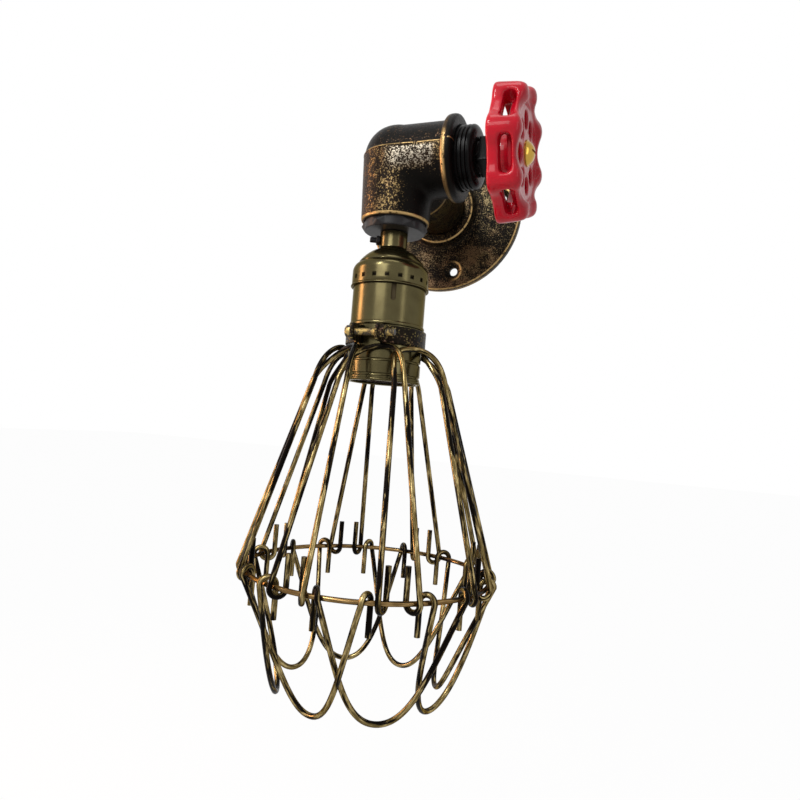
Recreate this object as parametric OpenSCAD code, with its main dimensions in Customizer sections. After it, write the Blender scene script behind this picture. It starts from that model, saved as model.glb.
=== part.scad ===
// Cage wall light made of pipe fittings: a round wall flange, a three-way elbow with a
// valve handwheel, a brass lampholder and a bell-shaped cage of hooked wires.
// Millimetres, +Z up. The origin is the centre of the flange's back face, the wall is the
// plane Y = 0, and the light reaches out along -Y. The handwheel is on the +X side.

/* [Wall flange] */
// Diameter of the round wall flange
flange_d = 104; // [92:1:120]
// Thickness of the flange plate
flange_t = 6; // [4:0.5:9]
// Diameter of the raised hub that takes the pipe
hub_d = 45.4; // [42:0.2:54]
// Height of the hub over the wall
hub_h = 15.6; // [12:0.2:20]
// Number of wall screws
wall_screw_count = 4; // [3:1:6]
// Diameter of the wall screw holes
wall_hole_d = 5.5; // [4:0.5:7]
// Diameter of the countersinks
countersink_d = 11; // [9:0.5:13]
// Diameter of the circle that the wall screws sit on
wall_circle_d = 80; // [72:1:86]
// Turn of the wall screws from straight down, towards the handwheel
wall_screw_turn = 13; // [0:1:44]

/* [Pipe and elbow] */
// Distance from the wall to the lamp's upright axis
reach = 88; // [84:1:110]
// Outer diameter of the pipe and of every threaded end
pipe_d = 33.4; // [30:0.2:36]
// Bore of the pipe
pipe_bore_d = 27; // [20:0.5:28]
// Depth that a threaded end goes into a port
thread_l = 15; // [10:0.5:18]
// Outer diameter of the elbow's legs
leg_d = 37.6; // [37:0.2:40]
// Outer diameter of the elbow's body, where its legs meet
body_d = 40.2; // [40:0.2:42]
// Elbow centre to the end of the lower port
drop_port = 34.4; // [32:0.2:42]
// Elbow centre to the end of the back port
back_port = 36; // [34:0.5:44]
// Elbow centre to the face of the side port
side_port = 36; // [33:0.5:44]
// Diameter of the bead round the side port
bead_d = 45.4; // [41:0.2:50]
// Width of the bead
bead_w = 6; // [5:0.5:12]

/* [Bushing] */
// Width across the flats of the hexagon
bushing_flats = 32; // [28:0.5:33]
// Height of the hexagon
bushing_head_h = 5; // [4:0.5:7]
// Diameter of the threaded tube that carries the lampholder
lamp_tube_d = 10; // [8:0.5:12]
// Bore of that tube
lamp_tube_bore_d = 7; // [6.4:0.2:7.2]

/* [Lampholder] */
// Diameter of the neck of the cap
neck_d = 14.4; // [13:0.2:17]
// Height of the neck
neck_h = 9.6; // [7:0.2:12]
// Height of the straight skirt of the cap
cap_skirt_h = 8.6; // [7:0.2:12]
// Number of square dimples round the cap
dimple_count = 19; // [12:1:24]
// Width of a dimple
dimple_w = 2.2; // [1:0.1:2.6]
// Diameter of the shell
shell_d = 40; // [39:0.2:40.4]
// Length of the shell that shows under the cap
shell_h = 51.2; // [46:0.2:60]
// Thickness of the sheet brass
sheet_t = 0.9; // [0.6:0.1:1.2]
// Inner diameter of the screw shell that takes the lamp base
lamp_base_d = 27; // [26.4:0.1:27.4]
// Length of the screw shell
lamp_base_l = 24.5; // [20:0.5:25]

/* [Clamp band] */
// Drop from the cap's lower edge to the band's lower edge
band_drop = 31.8; // [28:0.2:36]
// Height of the band
band_h = 9.4; // [8:0.2:12]
// Thickness of the band
band_t = 1.8; // [1.2:0.1:2.4]
// Distance between the two ears
ear_gap = 12; // [8:0.5:14]
// Reach of the ears beyond the band
ear_l = 8; // [7.5:0.5:12]
// Diameter of the clamp screw
clamp_screw_d = 4; // [3:0.5:4.5]

/* [Cage] */
// Diameter of the cage wires
wire_d = 3; // [2.4:0.1:3.2]
// Diameter of the ring's wire
ring_wire_d = 2.5; // [2:0.1:2.6]
// Diameter of the ring, measured at the middle of its wire
ring_d = 130.4; // [120:0.2:140]
// Drop from the elbow centre to the tips of the petals, at the middle of their wire
cage_drop = 286.4; // [272:0.2:312]
// Turn of the cage about its axis
cage_turn = 36; // [0:1:44]
// Half the angle that a hairpin spans on the ring
hairpin_half_angle = 28.8; // [28:0.1:29.5]
// Radius of the hooks, measured at the middle of the wire
hook_r = 3.9; // [3.8:0.1:4.2]
// Length of the straight tails of the hooks
tail_l = 16; // [8:0.5:20]
// Half the angle that a petal spans on the ring
petal_half_angle = 32.5; // [31.5:0.1:33]
// Height of a petal below the ring
petal_h = 62.4; // [50:0.2:72]
// Distance from the cage axis to a petal's tip
petal_tip_r = 43.2; // [41:0.2:48]

/* [Handwheel] */
// Diameter over the lobes
wheel_d = 72; // [64:0.2:78]
// Width of the rim along the axis
wheel_w = 17; // [15:0.5:20]
// Elbow centre to the back of the rim
wheel_x = 56.8; // [55:0.2:66]
// Diameter of a lobe
lobe_d = 16.6; // [12:0.2:19]
// Width of the bonnet's square head across its flats
bonnet_w = 15; // [13:0.5:17]
// Diameter of the spindle
spindle_d = 8; // [7.6:0.2:10]
// Diameter of the domed screw head
dome_d = 12.4; // [10:0.2:15]

/* [Hidden] */
$fn = 64;

// Clearances and small cuts
thread_gap = 0.06;    // radial play of a threaded end in its port
running_gap = 0.06;   // radial play of the spindle in the bonnet
slip_gap = 0.1;       // play of pieces that slide over each other
seat_gap = 0.3;       // space left where wires lie against what holds them
cut = 1;              // overshoot of a cut past a face

// Heights below the elbow centre, from the top down
cap_d = shell_d + 2 * (sheet_t + slip_gap);
bushing_z = -drop_port - bushing_head_h;
neck_z = bushing_z - neck_h;
cap_dome_h = 8.2;                           // height of the cap's dome under the neck
cap_shoulder_r = 5.6;                       // and radius of the shoulder round its foot
crease_in = 3;                              // how far the dome's foot lies inside the skirt
crease_r = cap_d / 2 - crease_in;
skirt_z = neck_z - cap_dome_h - cap_shoulder_r;
lip_z = skirt_z - cap_skirt_h;
mouth_z = lip_z - shell_h;
ring_z = petal_h - cage_drop;

// Lampholder
shell_r = shell_d / 2;
shell_in = 2.4;                             // how far the shell goes up into the cap
shell_top_z = lip_z + shell_in;
rim_w = 1.2;                                // height of the rolled rim at the mouth
rim_out = 0.45;
rim_r = shell_r + rim_out;
shell_bore_r = shell_r - sheet_t;
liner_t = 0.8;
liner_r = shell_bore_r - slip_gap;
insert_r = liner_r - liner_t - slip_gap;
insert_drop = 3;
insert_top_z = lip_z - insert_drop;
insert_floor_h = 10;
insert_floor_z = insert_top_z - insert_floor_h;
insert_bottom_z = mouth_z + rim_w;
screw_shell_t = 0.6;
screw_shell_r = lamp_base_d / 2 + screw_shell_t;
contact_w = 8;
contact_t = 0.8;
contact_drop = 4;                           // how far the sprung tongue hangs down
screw_shell_top_z = insert_floor_z - contact_drop - 2 * contact_t;
notch_w = 2.6;
notch_h = 8.8;
notch_turn = 29;
groove_r = 0.5;
groove_h = 3.4;                             // lower groove over the mouth
groove_step = 7.7;
dimple_rise = 4.4;                          // middle of the dimples over the lip
dimple_turn = 3.2;
terminal_x = 11;
terminal_d = 6;
terminal_h = 2;
terminal_shank_d = 2;
terminal_shank_l = 4;
lead_d = 2.4;
lead_x = 1.55;
lead_ease = 8;
lead_steps = 8;
lead_straight = 4;                          // straight part between the neck and the bend

// Set screw in the neck
set_screw_d = 3;
set_screw_l = 8;
set_nut_d = 5.4;
set_nut_h = 2.2;
set_screw_turn = -62;

// Clamp band
band_bore_r = shell_r + slip_gap;
band_r = band_bore_r + band_t;
wire_r = wire_d / 2;
arch_r = band_bore_r + wire_r + seat_gap;   // wire centre at the top of an arch
band_z = lip_z - band_drop;                 // lower edge of the band
ear_r = band_r + ear_l;
ear_x = ear_gap / 2;
ear_hole_y = -band_r - ear_l / 2;
ear_hole_z = band_z + band_h / 2;
clamp_head_d = 1.65 * clamp_screw_d;
clamp_head_h = 3.6;
clamp_tail = 8;
clamp_nut_flats = 1.75 * clamp_screw_d;
clamp_nut_h = 3;

// Cage
cage_count = 8;
cage_pitch = 360 / cage_count;
ring_r = ring_d / 2;
ring_wire_r = ring_wire_d / 2;
wire_sides = 8;
hook_steps = 8;
leg_steps = 10;
arch_top_z = band_z - wire_r - seat_gap;
shoulder_drop = 20.8;
shoulder_z = band_z - shoulder_drop;        // where a hairpin's leg turns straight
shoulder_spread = 15.7;
shoulder_out = arch_r + shoulder_spread;    // its distance from the axis there
shoulder_angle = 26.5;                      // and its angle from the hairpin's middle
shoulder_lift = 13;
shoulder_width = 11.5;
hairpin_cross = 1.8;                        // half the step where two hairpins cross
cross_angle = 52;                           // direction of that step, up from outward
hairpin_hook_turn = 35;                     // turn of a hairpin's hooks from the radius
petal_cross = 2.3;                          // half the step where two petals cross
petal_waist_w = 22;                         // half width that a petal's leg aims at
petal_waist_h = 34;                         // and the drop at which it aims
petal_toe = 16;                             // half width that the tip's curve aims at

// Handwheel and valve
wheel_front = wheel_x + wheel_w;
lobe_r = lobe_d / 2;
lobe_circle_r = wheel_d / 2 - lobe_r;
lobe_count = 8;
lobe_pitch = 360 / lobe_count;
octagon_inset = 1;
octagon_r = wheel_d / 2 - octagon_inset;
rim_back_w = 6;
rim_draft = 1.4;                            // how far the rim's outside narrows to the front
front_round_w = 4;                          // width of the sloping edge round the front
front_round_in = 2.6;                       // how far that edge draws in
window_w = 6.2;                             // along the axis
window_l = 18;                              // along the flat
scallop_r = 14;
scallop_depth = 2.6;                        // how far the rim's front draws back at the flats
rim_t = 10.5;
dish_r = wheel_d / 2 - rim_t;
dish_h = 8;                                 // depth of the dish in front of the web
web_x = wheel_front - dish_h;
web_t = 4.6;
hub_r = 10.5;
hub_back = 8;
web_hole_d = 9;
web_hole_circle_d = 32;
tang_w = 6;
washer_d = 13.4;
washer_t = 1;
dome_h = 3.4;
dome_shank_d = 4;
dome_shank_l = 9;
plug_r = pipe_d / 2;
plug_out = 10;
plug_face = side_port + plug_out;
plug_groove_w = 1;
plug_groove_in = 1.4;                       // from the port to the first groove
plug_groove_pitch = 2.2;
plug_nose_l = 2.8;                          // length of the plug's sloping nose
plug_nose_in = 4.2;                         // how far the nose draws in
bonnet_turn = -15;                          // turn of the square head about its axis
bonnet_wall = 2;                            // wall round the spindle's collar
bonnet_clear = 1.2;
bonnet_end = wheel_x - bonnet_clear;
bonnet_seat = 14;                           // length of the bonnet inside the plug
bonnet_in = plug_face - bonnet_seat;
spindle_set = 3;
spindle_in = bonnet_in + spindle_set;
collar_out = 2.5;
collar_d = spindle_d + 2 * collar_out;
collar_w = 2.4;
bonnet_shank_r = collar_d / 2 + slip_gap + bonnet_wall;
lead_bend_r = 16;
lead_end = 1.5;

// ---- Wire paths -------------------------------------------------------------------

function unit(v) = v / norm(v);
function bezier(a, b, c, d, t) =
    pow(1 - t, 3) * a + 3 * pow(1 - t, 2) * t * b + 3 * (1 - t) * t * t * c + pow(t, 3) * d;
function along(p, i) = unit(p[min(i + 1, len(p) - 1)] - p[max(i - 1, 0)]);
function carried(n, t) = unit(n - (n * t) * t);

// Side direction at every point of a path, carried along without twist
function sides_of(p, start) =
    [for (i = 0, n = carried(start, along(p, 0));
          i < len(p);
          i = i + 1, n = i < len(p) ? carried(n, along(p, i)) : n) n];

// Round wire along a path of points
module wire(path, d, start) {
    normals = sides_of(path, start);
    last = len(path) - 1;
    points = [for (i = [0 : last])
        let (t = along(path, i), n = normals[i], b = cross(t, n))
        for (j = [0 : wire_sides - 1])
            let (a = 360 * j / wire_sides) path[i] + d / 2 * (cos(a) * n + sin(a) * b)];
    walls = [for (i = [0 : last - 1], j = [0 : wire_sides - 1])
        let (k = (j + 1) % wire_sides, p = i * wire_sides, q = p + wire_sides)
        each [[p + j, q + j, q + k], [p + j, q + k, p + k]]];
    near_cap = [for (j = [0 : wire_sides - 1]) j];
    far_cap = [for (j = [wire_sides - 1 : -1 : 0]) last * wire_sides + j];
    polyhedron(points, concat([near_cap], walls, [far_cap]), convexity = 6);
}

// Hook round the ring at angle a: tail, bend and the point where the leg starts.
// turn swings its plane from the radius, and up is 1 over the ring and -1 under it.
function hook_inward(a, turn) = [-cos(a + turn), -sin(a + turn), 0];
function hook(a, turn, up) =
    let (middle = [ring_r * cos(a), ring_r * sin(a), ring_z], inward = hook_inward(a, turn))
    concat([middle + hook_r * inward - [0, 0, up * tail_l]],
           [for (i = [0 : hook_steps])
               let (b = 180 * i / hook_steps)
               middle + hook_r * (cos(b) * inward + [0, 0, up * sin(b)])]);

// One half of a hairpin, from its tail to the top of the arch. side is 1 or -1.
function hairpin_half(side) =
    let (start = hook(side * hairpin_half_angle, side * hairpin_hook_turn, -1),
         foot = start[len(start) - 1],
         shoulder = [shoulder_out * cos(shoulder_angle),
                     side * shoulder_out * sin(shoulder_angle), shoulder_z],
         lead = shoulder + shoulder_lift * unit(shoulder - foot),
         top = [arch_r, 0, arch_top_z],
         flat = [arch_r, side * shoulder_width, arch_top_z],
         step = side * hairpin_cross * [cos(cross_angle), 0, sin(cross_angle)])
    concat(start,
           [foot + (shoulder - foot) / 3, foot + (shoulder - foot) * 2 / 3],
           [for (i = [0 : leg_steps])
               bezier(shoulder, lead, flat, top, i / leg_steps)
               + step * sin(180 * i / leg_steps)]);

// One half of a petal, from its tail to the tip
function petal_half(side) =
    let (start = hook(side * petal_half_angle, -side * petal_half_angle, 1),
         foot = start[len(start) - 1],
         slope = (foot[0] - petal_tip_r) / petal_h,
         waist = [foot[0] - slope * petal_waist_h, side * petal_waist_w,
                  ring_z - petal_waist_h],
         toe = [petal_tip_r, side * petal_toe, ring_z - petal_h],
         tip = [petal_tip_r, 0, ring_z - petal_h])
    concat(start,
           [for (i = [1 : leg_steps])
               bezier(foot, waist, toe, tip, i / leg_steps)
               + side * petal_cross * [sin(180 * i / leg_steps), 0, 0]]);

// Both halves joined at the middle, without its point twice
function both_halves(right, left) =
    concat(right, [for (i = [len(left) - 2 : -1 : 0]) left[i]]);

module at_lamp() {
    translate([0, -reach, 0]) children();
}

module along_x() {
    rotate([0, 90, 0]) children();
}

module along_y() {
    rotate([90, 0, 0]) children();
}

// Places a cage wire whose middle is at a given turn from straight out
module at_turn(angle) {
    at_lamp() rotate([0, 0, angle - 90]) children();
}

// ---- Wall side --------------------------------------------------------------------

module wall_flange() {
    color("#3a3026") along_y() difference() {
        union() {
            cylinder(h = flange_t, d = flange_d, $fn = 128);
            cylinder(h = hub_h, d = hub_d, $fn = 96);
        }
        translate([0, 0, -cut]) cylinder(h = hub_h + 2 * cut, r = pipe_d / 2 + thread_gap);
        for (i = [0 : wall_screw_count - 1])
            rotate([0, 0, wall_screw_turn - 90 + 360 * i / wall_screw_count])
                translate([wall_circle_d / 2, 0, 0]) {
                    translate([0, 0, -cut]) cylinder(h = flange_t + 2 * cut, d = wall_hole_d);
                    translate([0, 0, flange_t - (countersink_d - wall_hole_d) / 2])
                        cylinder(h = (countersink_d - wall_hole_d) / 2 + slip_gap,
                                 d1 = wall_hole_d, d2 = countersink_d + 2 * slip_gap);
                }
    }
}

module pipe_nipple() {
    back = 3;
    color("#2c251f") along_y() difference() {
        translate([0, 0, back])
            cylinder(h = reach - back_port + thread_l - back, d = pipe_d);
        translate([0, 0, -cut]) cylinder(h = reach, d = pipe_bore_d);
    }
}

// ---- Elbow and bushing ------------------------------------------------------------

// The bead is a band with a rounded back and front
module port_bead() {
    corner = bead_w / 3;
    rotate_extrude($fn = 96) union() {
        translate([leg_d / 4, 0]) square([bead_d / 2 - corner - leg_d / 4, bead_w]);
        translate([leg_d / 4, corner]) square([bead_d / 2 - leg_d / 4, bead_w - 2 * corner]);
        translate([bead_d / 2 - corner, corner]) circle(r = corner, $fn = 32);
        translate([bead_d / 2 - corner, bead_w - corner]) circle(r = corner, $fn = 32);
    }
}

module side_outlet_elbow() {
    port_r = pipe_d / 2 + thread_gap;
    color("#3a3026") at_lamp() difference() {
        union() {
            sphere(d = body_d);
            translate([0, 0, -drop_port]) cylinder(h = drop_port, d1 = leg_d, d2 = body_d);
            rotate([-90, 0, 0]) cylinder(h = back_port, d1 = body_d, d2 = leg_d);
            along_x() cylinder(h = side_port - bead_w / 2, d = body_d);
            translate([side_port - bead_w, 0, 0]) along_x() port_bead();
        }
        translate([0, 0, -drop_port - cut]) cylinder(h = drop_port + cut, d = pipe_bore_d);
        rotate([-90, 0, 0]) cylinder(h = back_port + cut, d = pipe_bore_d);
        along_x() cylinder(h = side_port + cut, d = pipe_bore_d);
        translate([0, 0, -drop_port - cut]) cylinder(h = thread_l + cut, r = port_r);
        translate([0, back_port - thread_l, 0]) rotate([-90, 0, 0])
            cylinder(h = thread_l + cut, r = port_r);
        translate([side_port - thread_l, 0, 0]) along_x() cylinder(h = thread_l + cut, r = port_r);
        sphere(d = pipe_bore_d);
    }
}

module hex_bushing() {
    hex_turn = -10;
    color("#23262b") at_lamp() difference() {
        union() {
            translate([0, 0, bushing_z]) rotate([0, 0, hex_turn - 90])
                cylinder(h = bushing_head_h, d = bushing_flats / cos(30), $fn = 6);
            translate([0, 0, -drop_port - slip_gap])
                cylinder(h = thread_l + slip_gap, d = pipe_d);
        }
        translate([0, 0, bushing_z - cut])
            cylinder(h = bushing_head_h + thread_l + 2 * cut, r = lamp_tube_d / 2 + thread_gap);
    }
}

module lamp_tube() {
    into_bushing = 12;
    into_cap = neck_h + 2;
    color("#b7b39a") at_lamp() difference() {
        translate([0, 0, bushing_z - into_cap])
            cylinder(h = into_cap + into_bushing, d = lamp_tube_d);
        translate([0, 0, bushing_z - into_cap - cut])
            cylinder(h = into_cap + into_bushing + 2 * cut, d = lamp_tube_bore_d);
    }
}

// ---- Lampholder -------------------------------------------------------------------

// Half section of the cap at a given inset: its dome, the shoulder round it and the skirt
module cap_section(inset) {
    neck_r = neck_d / 2;
    ball_drop = (pow(crease_r, 2) + pow(cap_dome_h, 2) - pow(neck_r, 2)) / (2 * cap_dome_h);
    ball_r = norm([neck_r, ball_drop]);
    inner_r = cap_d / 2 - cap_shoulder_r;
    intersection() {
        translate([0, neck_z - ball_drop]) circle(r = ball_r - inset, $fn = 180);
        translate([0, skirt_z]) square([crease_r, cap_d]);
    }
    intersection() {
        translate([inner_r, skirt_z]) circle(r = cap_shoulder_r - inset, $fn = 96);
        translate([0, skirt_z]) square(cap_d);
    }
    translate([0, skirt_z]) square([inner_r, cap_shoulder_r - inset]);
    translate([0, lip_z]) square([cap_d / 2 - inset, cap_skirt_h]);
}

module socket_cap() {
    lip_h = 1.2;
    lip_out = 0.5;
    tube_r = lamp_tube_d / 2 + thread_gap;
    color("#5b5a3c") at_lamp() difference() {
        rotate_extrude($fn = 96) difference() {
            union() {
                cap_section(0);
                translate([0, neck_z - sheet_t]) square([neck_d / 2, neck_h + sheet_t]);
                translate([0, lip_z]) square([cap_d / 2 + lip_out, lip_h]);
            }
            difference() {
                cap_section(sheet_t);
                translate([0, neck_z - sheet_t - cut]) square([neck_d / 2, 2 * cut]);
            }
            translate([0, lip_z - cut]) square([cap_d / 2 - sheet_t, cap_skirt_h + cut]);
            translate([0, skirt_z]) square([tube_r, neck_z - skirt_z + neck_h + cut]);
        }
        for (i = [0 : dimple_count - 1])
            rotate([0, 0, 360 * i / dimple_count + dimple_turn])
                translate([cap_d / 2 - sheet_t / 2, -dimple_w / 2,
                           lip_z + dimple_rise - dimple_w / 2])
                    cube([sheet_t, dimple_w, dimple_w]);
        rotate([0, 0, set_screw_turn - 90]) translate([tube_r / 2, 0, neck_z + neck_h / 2])
            along_x() cylinder(h = neck_d, r = set_screw_d / 2 + slip_gap / 2, $fn = 32);
    }
}

module neck_set_screw() {
    tip = lamp_tube_d / 2 + slip_gap;
    color("#1c1b1a") at_lamp() rotate([0, 0, set_screw_turn - 90])
        translate([tip, 0, neck_z + neck_h / 2]) along_x() {
            cylinder(h = set_screw_l, d = set_screw_d, $fn = 32);
            translate([0, 0, neck_d / 2 - tip + slip_gap])
                cylinder(h = set_nut_h, d = set_nut_d, $fn = 6);
        }
}

module socket_shell() {
    lip_in = 1.6;
    color("#5b5a3c") at_lamp() difference() {
        rotate_extrude($fn = 96) difference() {
            union() {
                translate([shell_bore_r, mouth_z]) square([sheet_t, shell_top_z - mouth_z]);
                translate([shell_bore_r - lip_in, mouth_z])
                    square([rim_r - shell_bore_r + lip_in, rim_w]);
            }
            for (i = [0 : 1])
                translate([shell_r, mouth_z + groove_h + i * groove_step])
                    circle(r = groove_r, $fn = 24);
        }
        for (half = [0, 180])
            rotate([0, 0, notch_turn - 90 + half])
                translate([shell_r - 2 * sheet_t, 0, 0]) {
                    translate([0, -notch_w / 2, lip_z - notch_h + notch_w / 2])
                        cube([4 * sheet_t, notch_w, notch_h]);
                    translate([0, 0, lip_z - notch_h + notch_w / 2])
                        along_x() cylinder(h = 4 * sheet_t, d = notch_w, $fn = 32);
                }
    }
}

module shell_liner() {
    liner_h = lip_z - insert_bottom_z;
    color("#2a1d14") at_lamp() translate([0, 0, insert_bottom_z + slip_gap]) difference() {
        cylinder(h = liner_h, r = liner_r);
        translate([0, 0, -cut]) cylinder(h = liner_h + 2 * cut, r = liner_r - liner_t);
    }
}

module lamp_insert() {
    seat = insert_bottom_z + slip_gap;
    color("#2b2119") at_lamp() difference() {
        translate([0, 0, seat]) cylinder(h = insert_top_z - seat, r = insert_r);
        translate([0, 0, seat - cut])
            cylinder(h = insert_floor_z - seat + cut, r = screw_shell_r + slip_gap);
        for (side = [-1, 1])
            translate([side * terminal_x, 0, insert_top_z - terminal_shank_l - slip_gap])
                cylinder(h = insert_floor_h, d = terminal_shank_d + slip_gap, $fn = 32);
    }
}

module screw_shell() {
    color("#c9a24a") at_lamp()
        translate([0, 0, screw_shell_top_z - lamp_base_l]) difference() {
            cylinder(h = lamp_base_l, r = screw_shell_r);
            translate([0, 0, -cut]) cylinder(h = lamp_base_l + 2 * cut, d = lamp_base_d);
        }
}

module centre_contact() {
    tongue_l = 14;
    top = insert_floor_z - slip_gap;
    color("#c9a24a") at_lamp() translate([-contact_w / 2, 0, top]) {
        translate([0, -tongue_l / 2, -contact_t]) cube([contact_w, tongue_l, contact_t]);
        translate([0, tongue_l / 2 - contact_t, -contact_drop]) cube([contact_w, contact_t, contact_drop]);
        translate([0, -contact_t, -contact_drop - contact_t])
            cube([contact_w, tongue_l / 2 + contact_t, contact_t]);
    }
}

module terminal_screws() {
    color("#c9a24a") at_lamp() for (side = [-1, 1])
        translate([side * terminal_x, 0, insert_top_z]) {
            cylinder(h = terminal_h, d = terminal_d, $fn = 32);
            translate([0, 0, -terminal_shank_l])
                cylinder(h = terminal_shank_l, d = terminal_shank_d, $fn = 32);
        }
}

// Insulated lead from a terminal up through the fittings to the back of the flange
function lead_path(side) =
    let (x = side * lead_x,
         end_x = side * (terminal_x - terminal_d / 2 - lead_d / 2 - slip_gap),
         start = [end_x, 0, insert_top_z + lead_d / 2 + slip_gap],
         neck = [x, 0, neck_z - lead_straight],
         ease = [0, 0, lead_ease])
    concat([for (i = [0 : lead_steps])
               bezier(start, start + ease, neck - ease, neck, i / lead_steps)],
           [for (i = [0 : lead_steps])
               let (a = 90 * i / lead_steps)
               [x, lead_bend_r * (1 - cos(a)), lead_bend_r * (sin(a) - 1)]],
           [[x, reach - lead_end, 0]]);

module lead_live() {
    color("#8a2b1f") at_lamp() wire(lead_path(1), lead_d, [1, 0, 0]);
}

module lead_neutral() {
    color("#e4e1d6") at_lamp() wire(lead_path(-1), lead_d, [1, 0, 0]);
}

// ---- Clamp band -------------------------------------------------------------------

module clamp_band() {
    color("#3b3424") at_lamp() translate([0, 0, band_z]) difference() {
        union() {
            difference() {
                cylinder(h = band_h, r = band_r);
                translate([-ear_x, -2 * band_r, -cut])
                    cube([ear_gap, 2 * band_r, band_h + 2 * cut]);
            }
            for (side = [-1, 1])
                translate([side * (ear_x + band_t / 2) - band_t / 2, -ear_r, 0])
                    cube([band_t, ear_r, band_h]);
        }
        translate([0, 0, -cut]) cylinder(h = band_h + 2 * cut, r = band_bore_r, $fn = 96);
        translate([-ear_gap, ear_hole_y, band_h / 2]) along_x()
            cylinder(h = 2 * ear_gap, r = clamp_screw_d / 2 + slip_gap, $fn = 32);
    }
}

module clamp_screw() {
    head_x = -ear_x - band_t - slip_gap;
    color("#2a2620") at_lamp() translate([head_x, ear_hole_y, ear_hole_z]) along_x() {
        translate([0, 0, -clamp_head_h]) cylinder(h = clamp_head_h, d = clamp_head_d, $fn = 32);
        cylinder(h = -head_x + ear_x + band_t + clamp_tail, d = clamp_screw_d, $fn = 32);
    }
}

module clamp_nut() {
    color("#8c7a45") at_lamp()
        translate([ear_x + band_t + slip_gap, ear_hole_y, ear_hole_z]) along_x() difference() {
            cylinder(h = clamp_nut_h, d = clamp_nut_flats / cos(30), $fn = 6);
            translate([0, 0, -cut])
                cylinder(h = clamp_nut_h + 2 * cut, r = clamp_screw_d / 2 + thread_gap, $fn = 32);
        }
}

// ---- Cage -------------------------------------------------------------------------

module cage_ring() {
    color("#8a6a3c") at_lamp() translate([0, 0, ring_z])
        rotate_extrude($fn = 128) translate([ring_r, 0]) circle(r = ring_wire_r, $fn = 32);
}

module hairpin(number) {
    color("#6f6038") at_turn(cage_turn + cage_pitch * (number - 0.5))
        wire(both_halves(hairpin_half(1), hairpin_half(-1)), wire_d, [1, 0, 0]);
}

module petal(number) {
    color("#7a6a3e") at_turn(cage_turn + cage_pitch * (number - 1))
        wire(both_halves(petal_half(1), petal_half(-1)), wire_d, [1, 0, 0]);
}

// ---- Valve and handwheel ----------------------------------------------------------

module side_plug() {
    groove_count = 3;
    color("#191919") at_lamp() difference() {
        union() {
            translate([side_port - thread_l, 0, 0]) along_x()
                cylinder(h = plug_face - plug_nose_l - side_port + thread_l, r = plug_r);
            translate([plug_face - plug_nose_l, 0, 0]) along_x()
                cylinder(h = plug_nose_l, r1 = plug_r, r2 = plug_r - plug_nose_in);
        }
        for (i = [0 : groove_count - 1])
            translate([side_port + plug_groove_in + plug_groove_pitch * i, 0, 0])
                along_x() difference() {
                    cylinder(h = plug_groove_w, r = plug_r + cut);
                    translate([0, 0, -cut])
                        cylinder(h = plug_groove_w + 2 * cut, r = plug_r - plug_groove_w);
                }
        translate([bonnet_in, 0, 0]) along_x()
            cylinder(h = plug_face, r = bonnet_shank_r + slip_gap);
        along_x() cylinder(h = plug_face, d = collar_d + 2 * seat_gap);
    }
}

module valve_bonnet() {
    head_in = plug_face + slip_gap;
    color("#191919") at_lamp() difference() {
        union() {
            translate([bonnet_in + slip_gap, 0, 0]) along_x()
                cylinder(h = head_in - bonnet_in, r = bonnet_shank_r);
            translate([head_in, 0, 0]) rotate([bonnet_turn, 0, 0])
                translate([0, -bonnet_w / 2, -bonnet_w / 2])
                    cube([bonnet_end - head_in, bonnet_w, bonnet_w]);
        }
        along_x() cylinder(h = bonnet_end + cut, r = spindle_d / 2 + running_gap);
        along_x() cylinder(h = spindle_in + collar_w + slip_gap, r = collar_d / 2 + slip_gap);
    }
}

module spindle() {
    tang_end = web_x + web_t - slip_gap;
    color("#8f8f8f") at_lamp() difference() {
        union() {
            translate([spindle_in, 0, 0]) along_x() cylinder(h = web_x - spindle_in, d = spindle_d);
            translate([spindle_in, 0, 0]) along_x() cylinder(h = collar_w, d = collar_d);
            translate([web_x - cut, -tang_w / 2, -tang_w / 2])
                cube([tang_end - web_x + cut, tang_w, tang_w]);
        }
        translate([tang_end - dome_shank_l, 0, 0]) along_x()
            cylinder(h = dome_shank_l + cut, r = dome_shank_d / 2 + thread_gap, $fn = 32);
    }
}

// Outline of the rim: an octagon with a round lobe on each corner
module wheel_outline() {
    circle(r = octagon_r, $fn = lobe_count);
    for (i = [0 : lobe_count - 1])
        rotate(lobe_pitch * i) translate([lobe_circle_r, 0]) circle(r = lobe_r, $fn = 48);
}

// Blank of the rim, drawn in a little to the front and with a sloping front edge
module wheel_blank() {
    back_w = wheel_w - front_round_w;
    wheel_r = wheel_d / 2;
    drafted = (wheel_r - rim_draft) / wheel_r;
    linear_extrude(back_w, scale = drafted) wheel_outline();
    translate([0, 0, back_w])
        linear_extrude(front_round_w, scale = 1 - front_round_in / (wheel_r - rim_draft))
            scale(drafted) wheel_outline();
}

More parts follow.
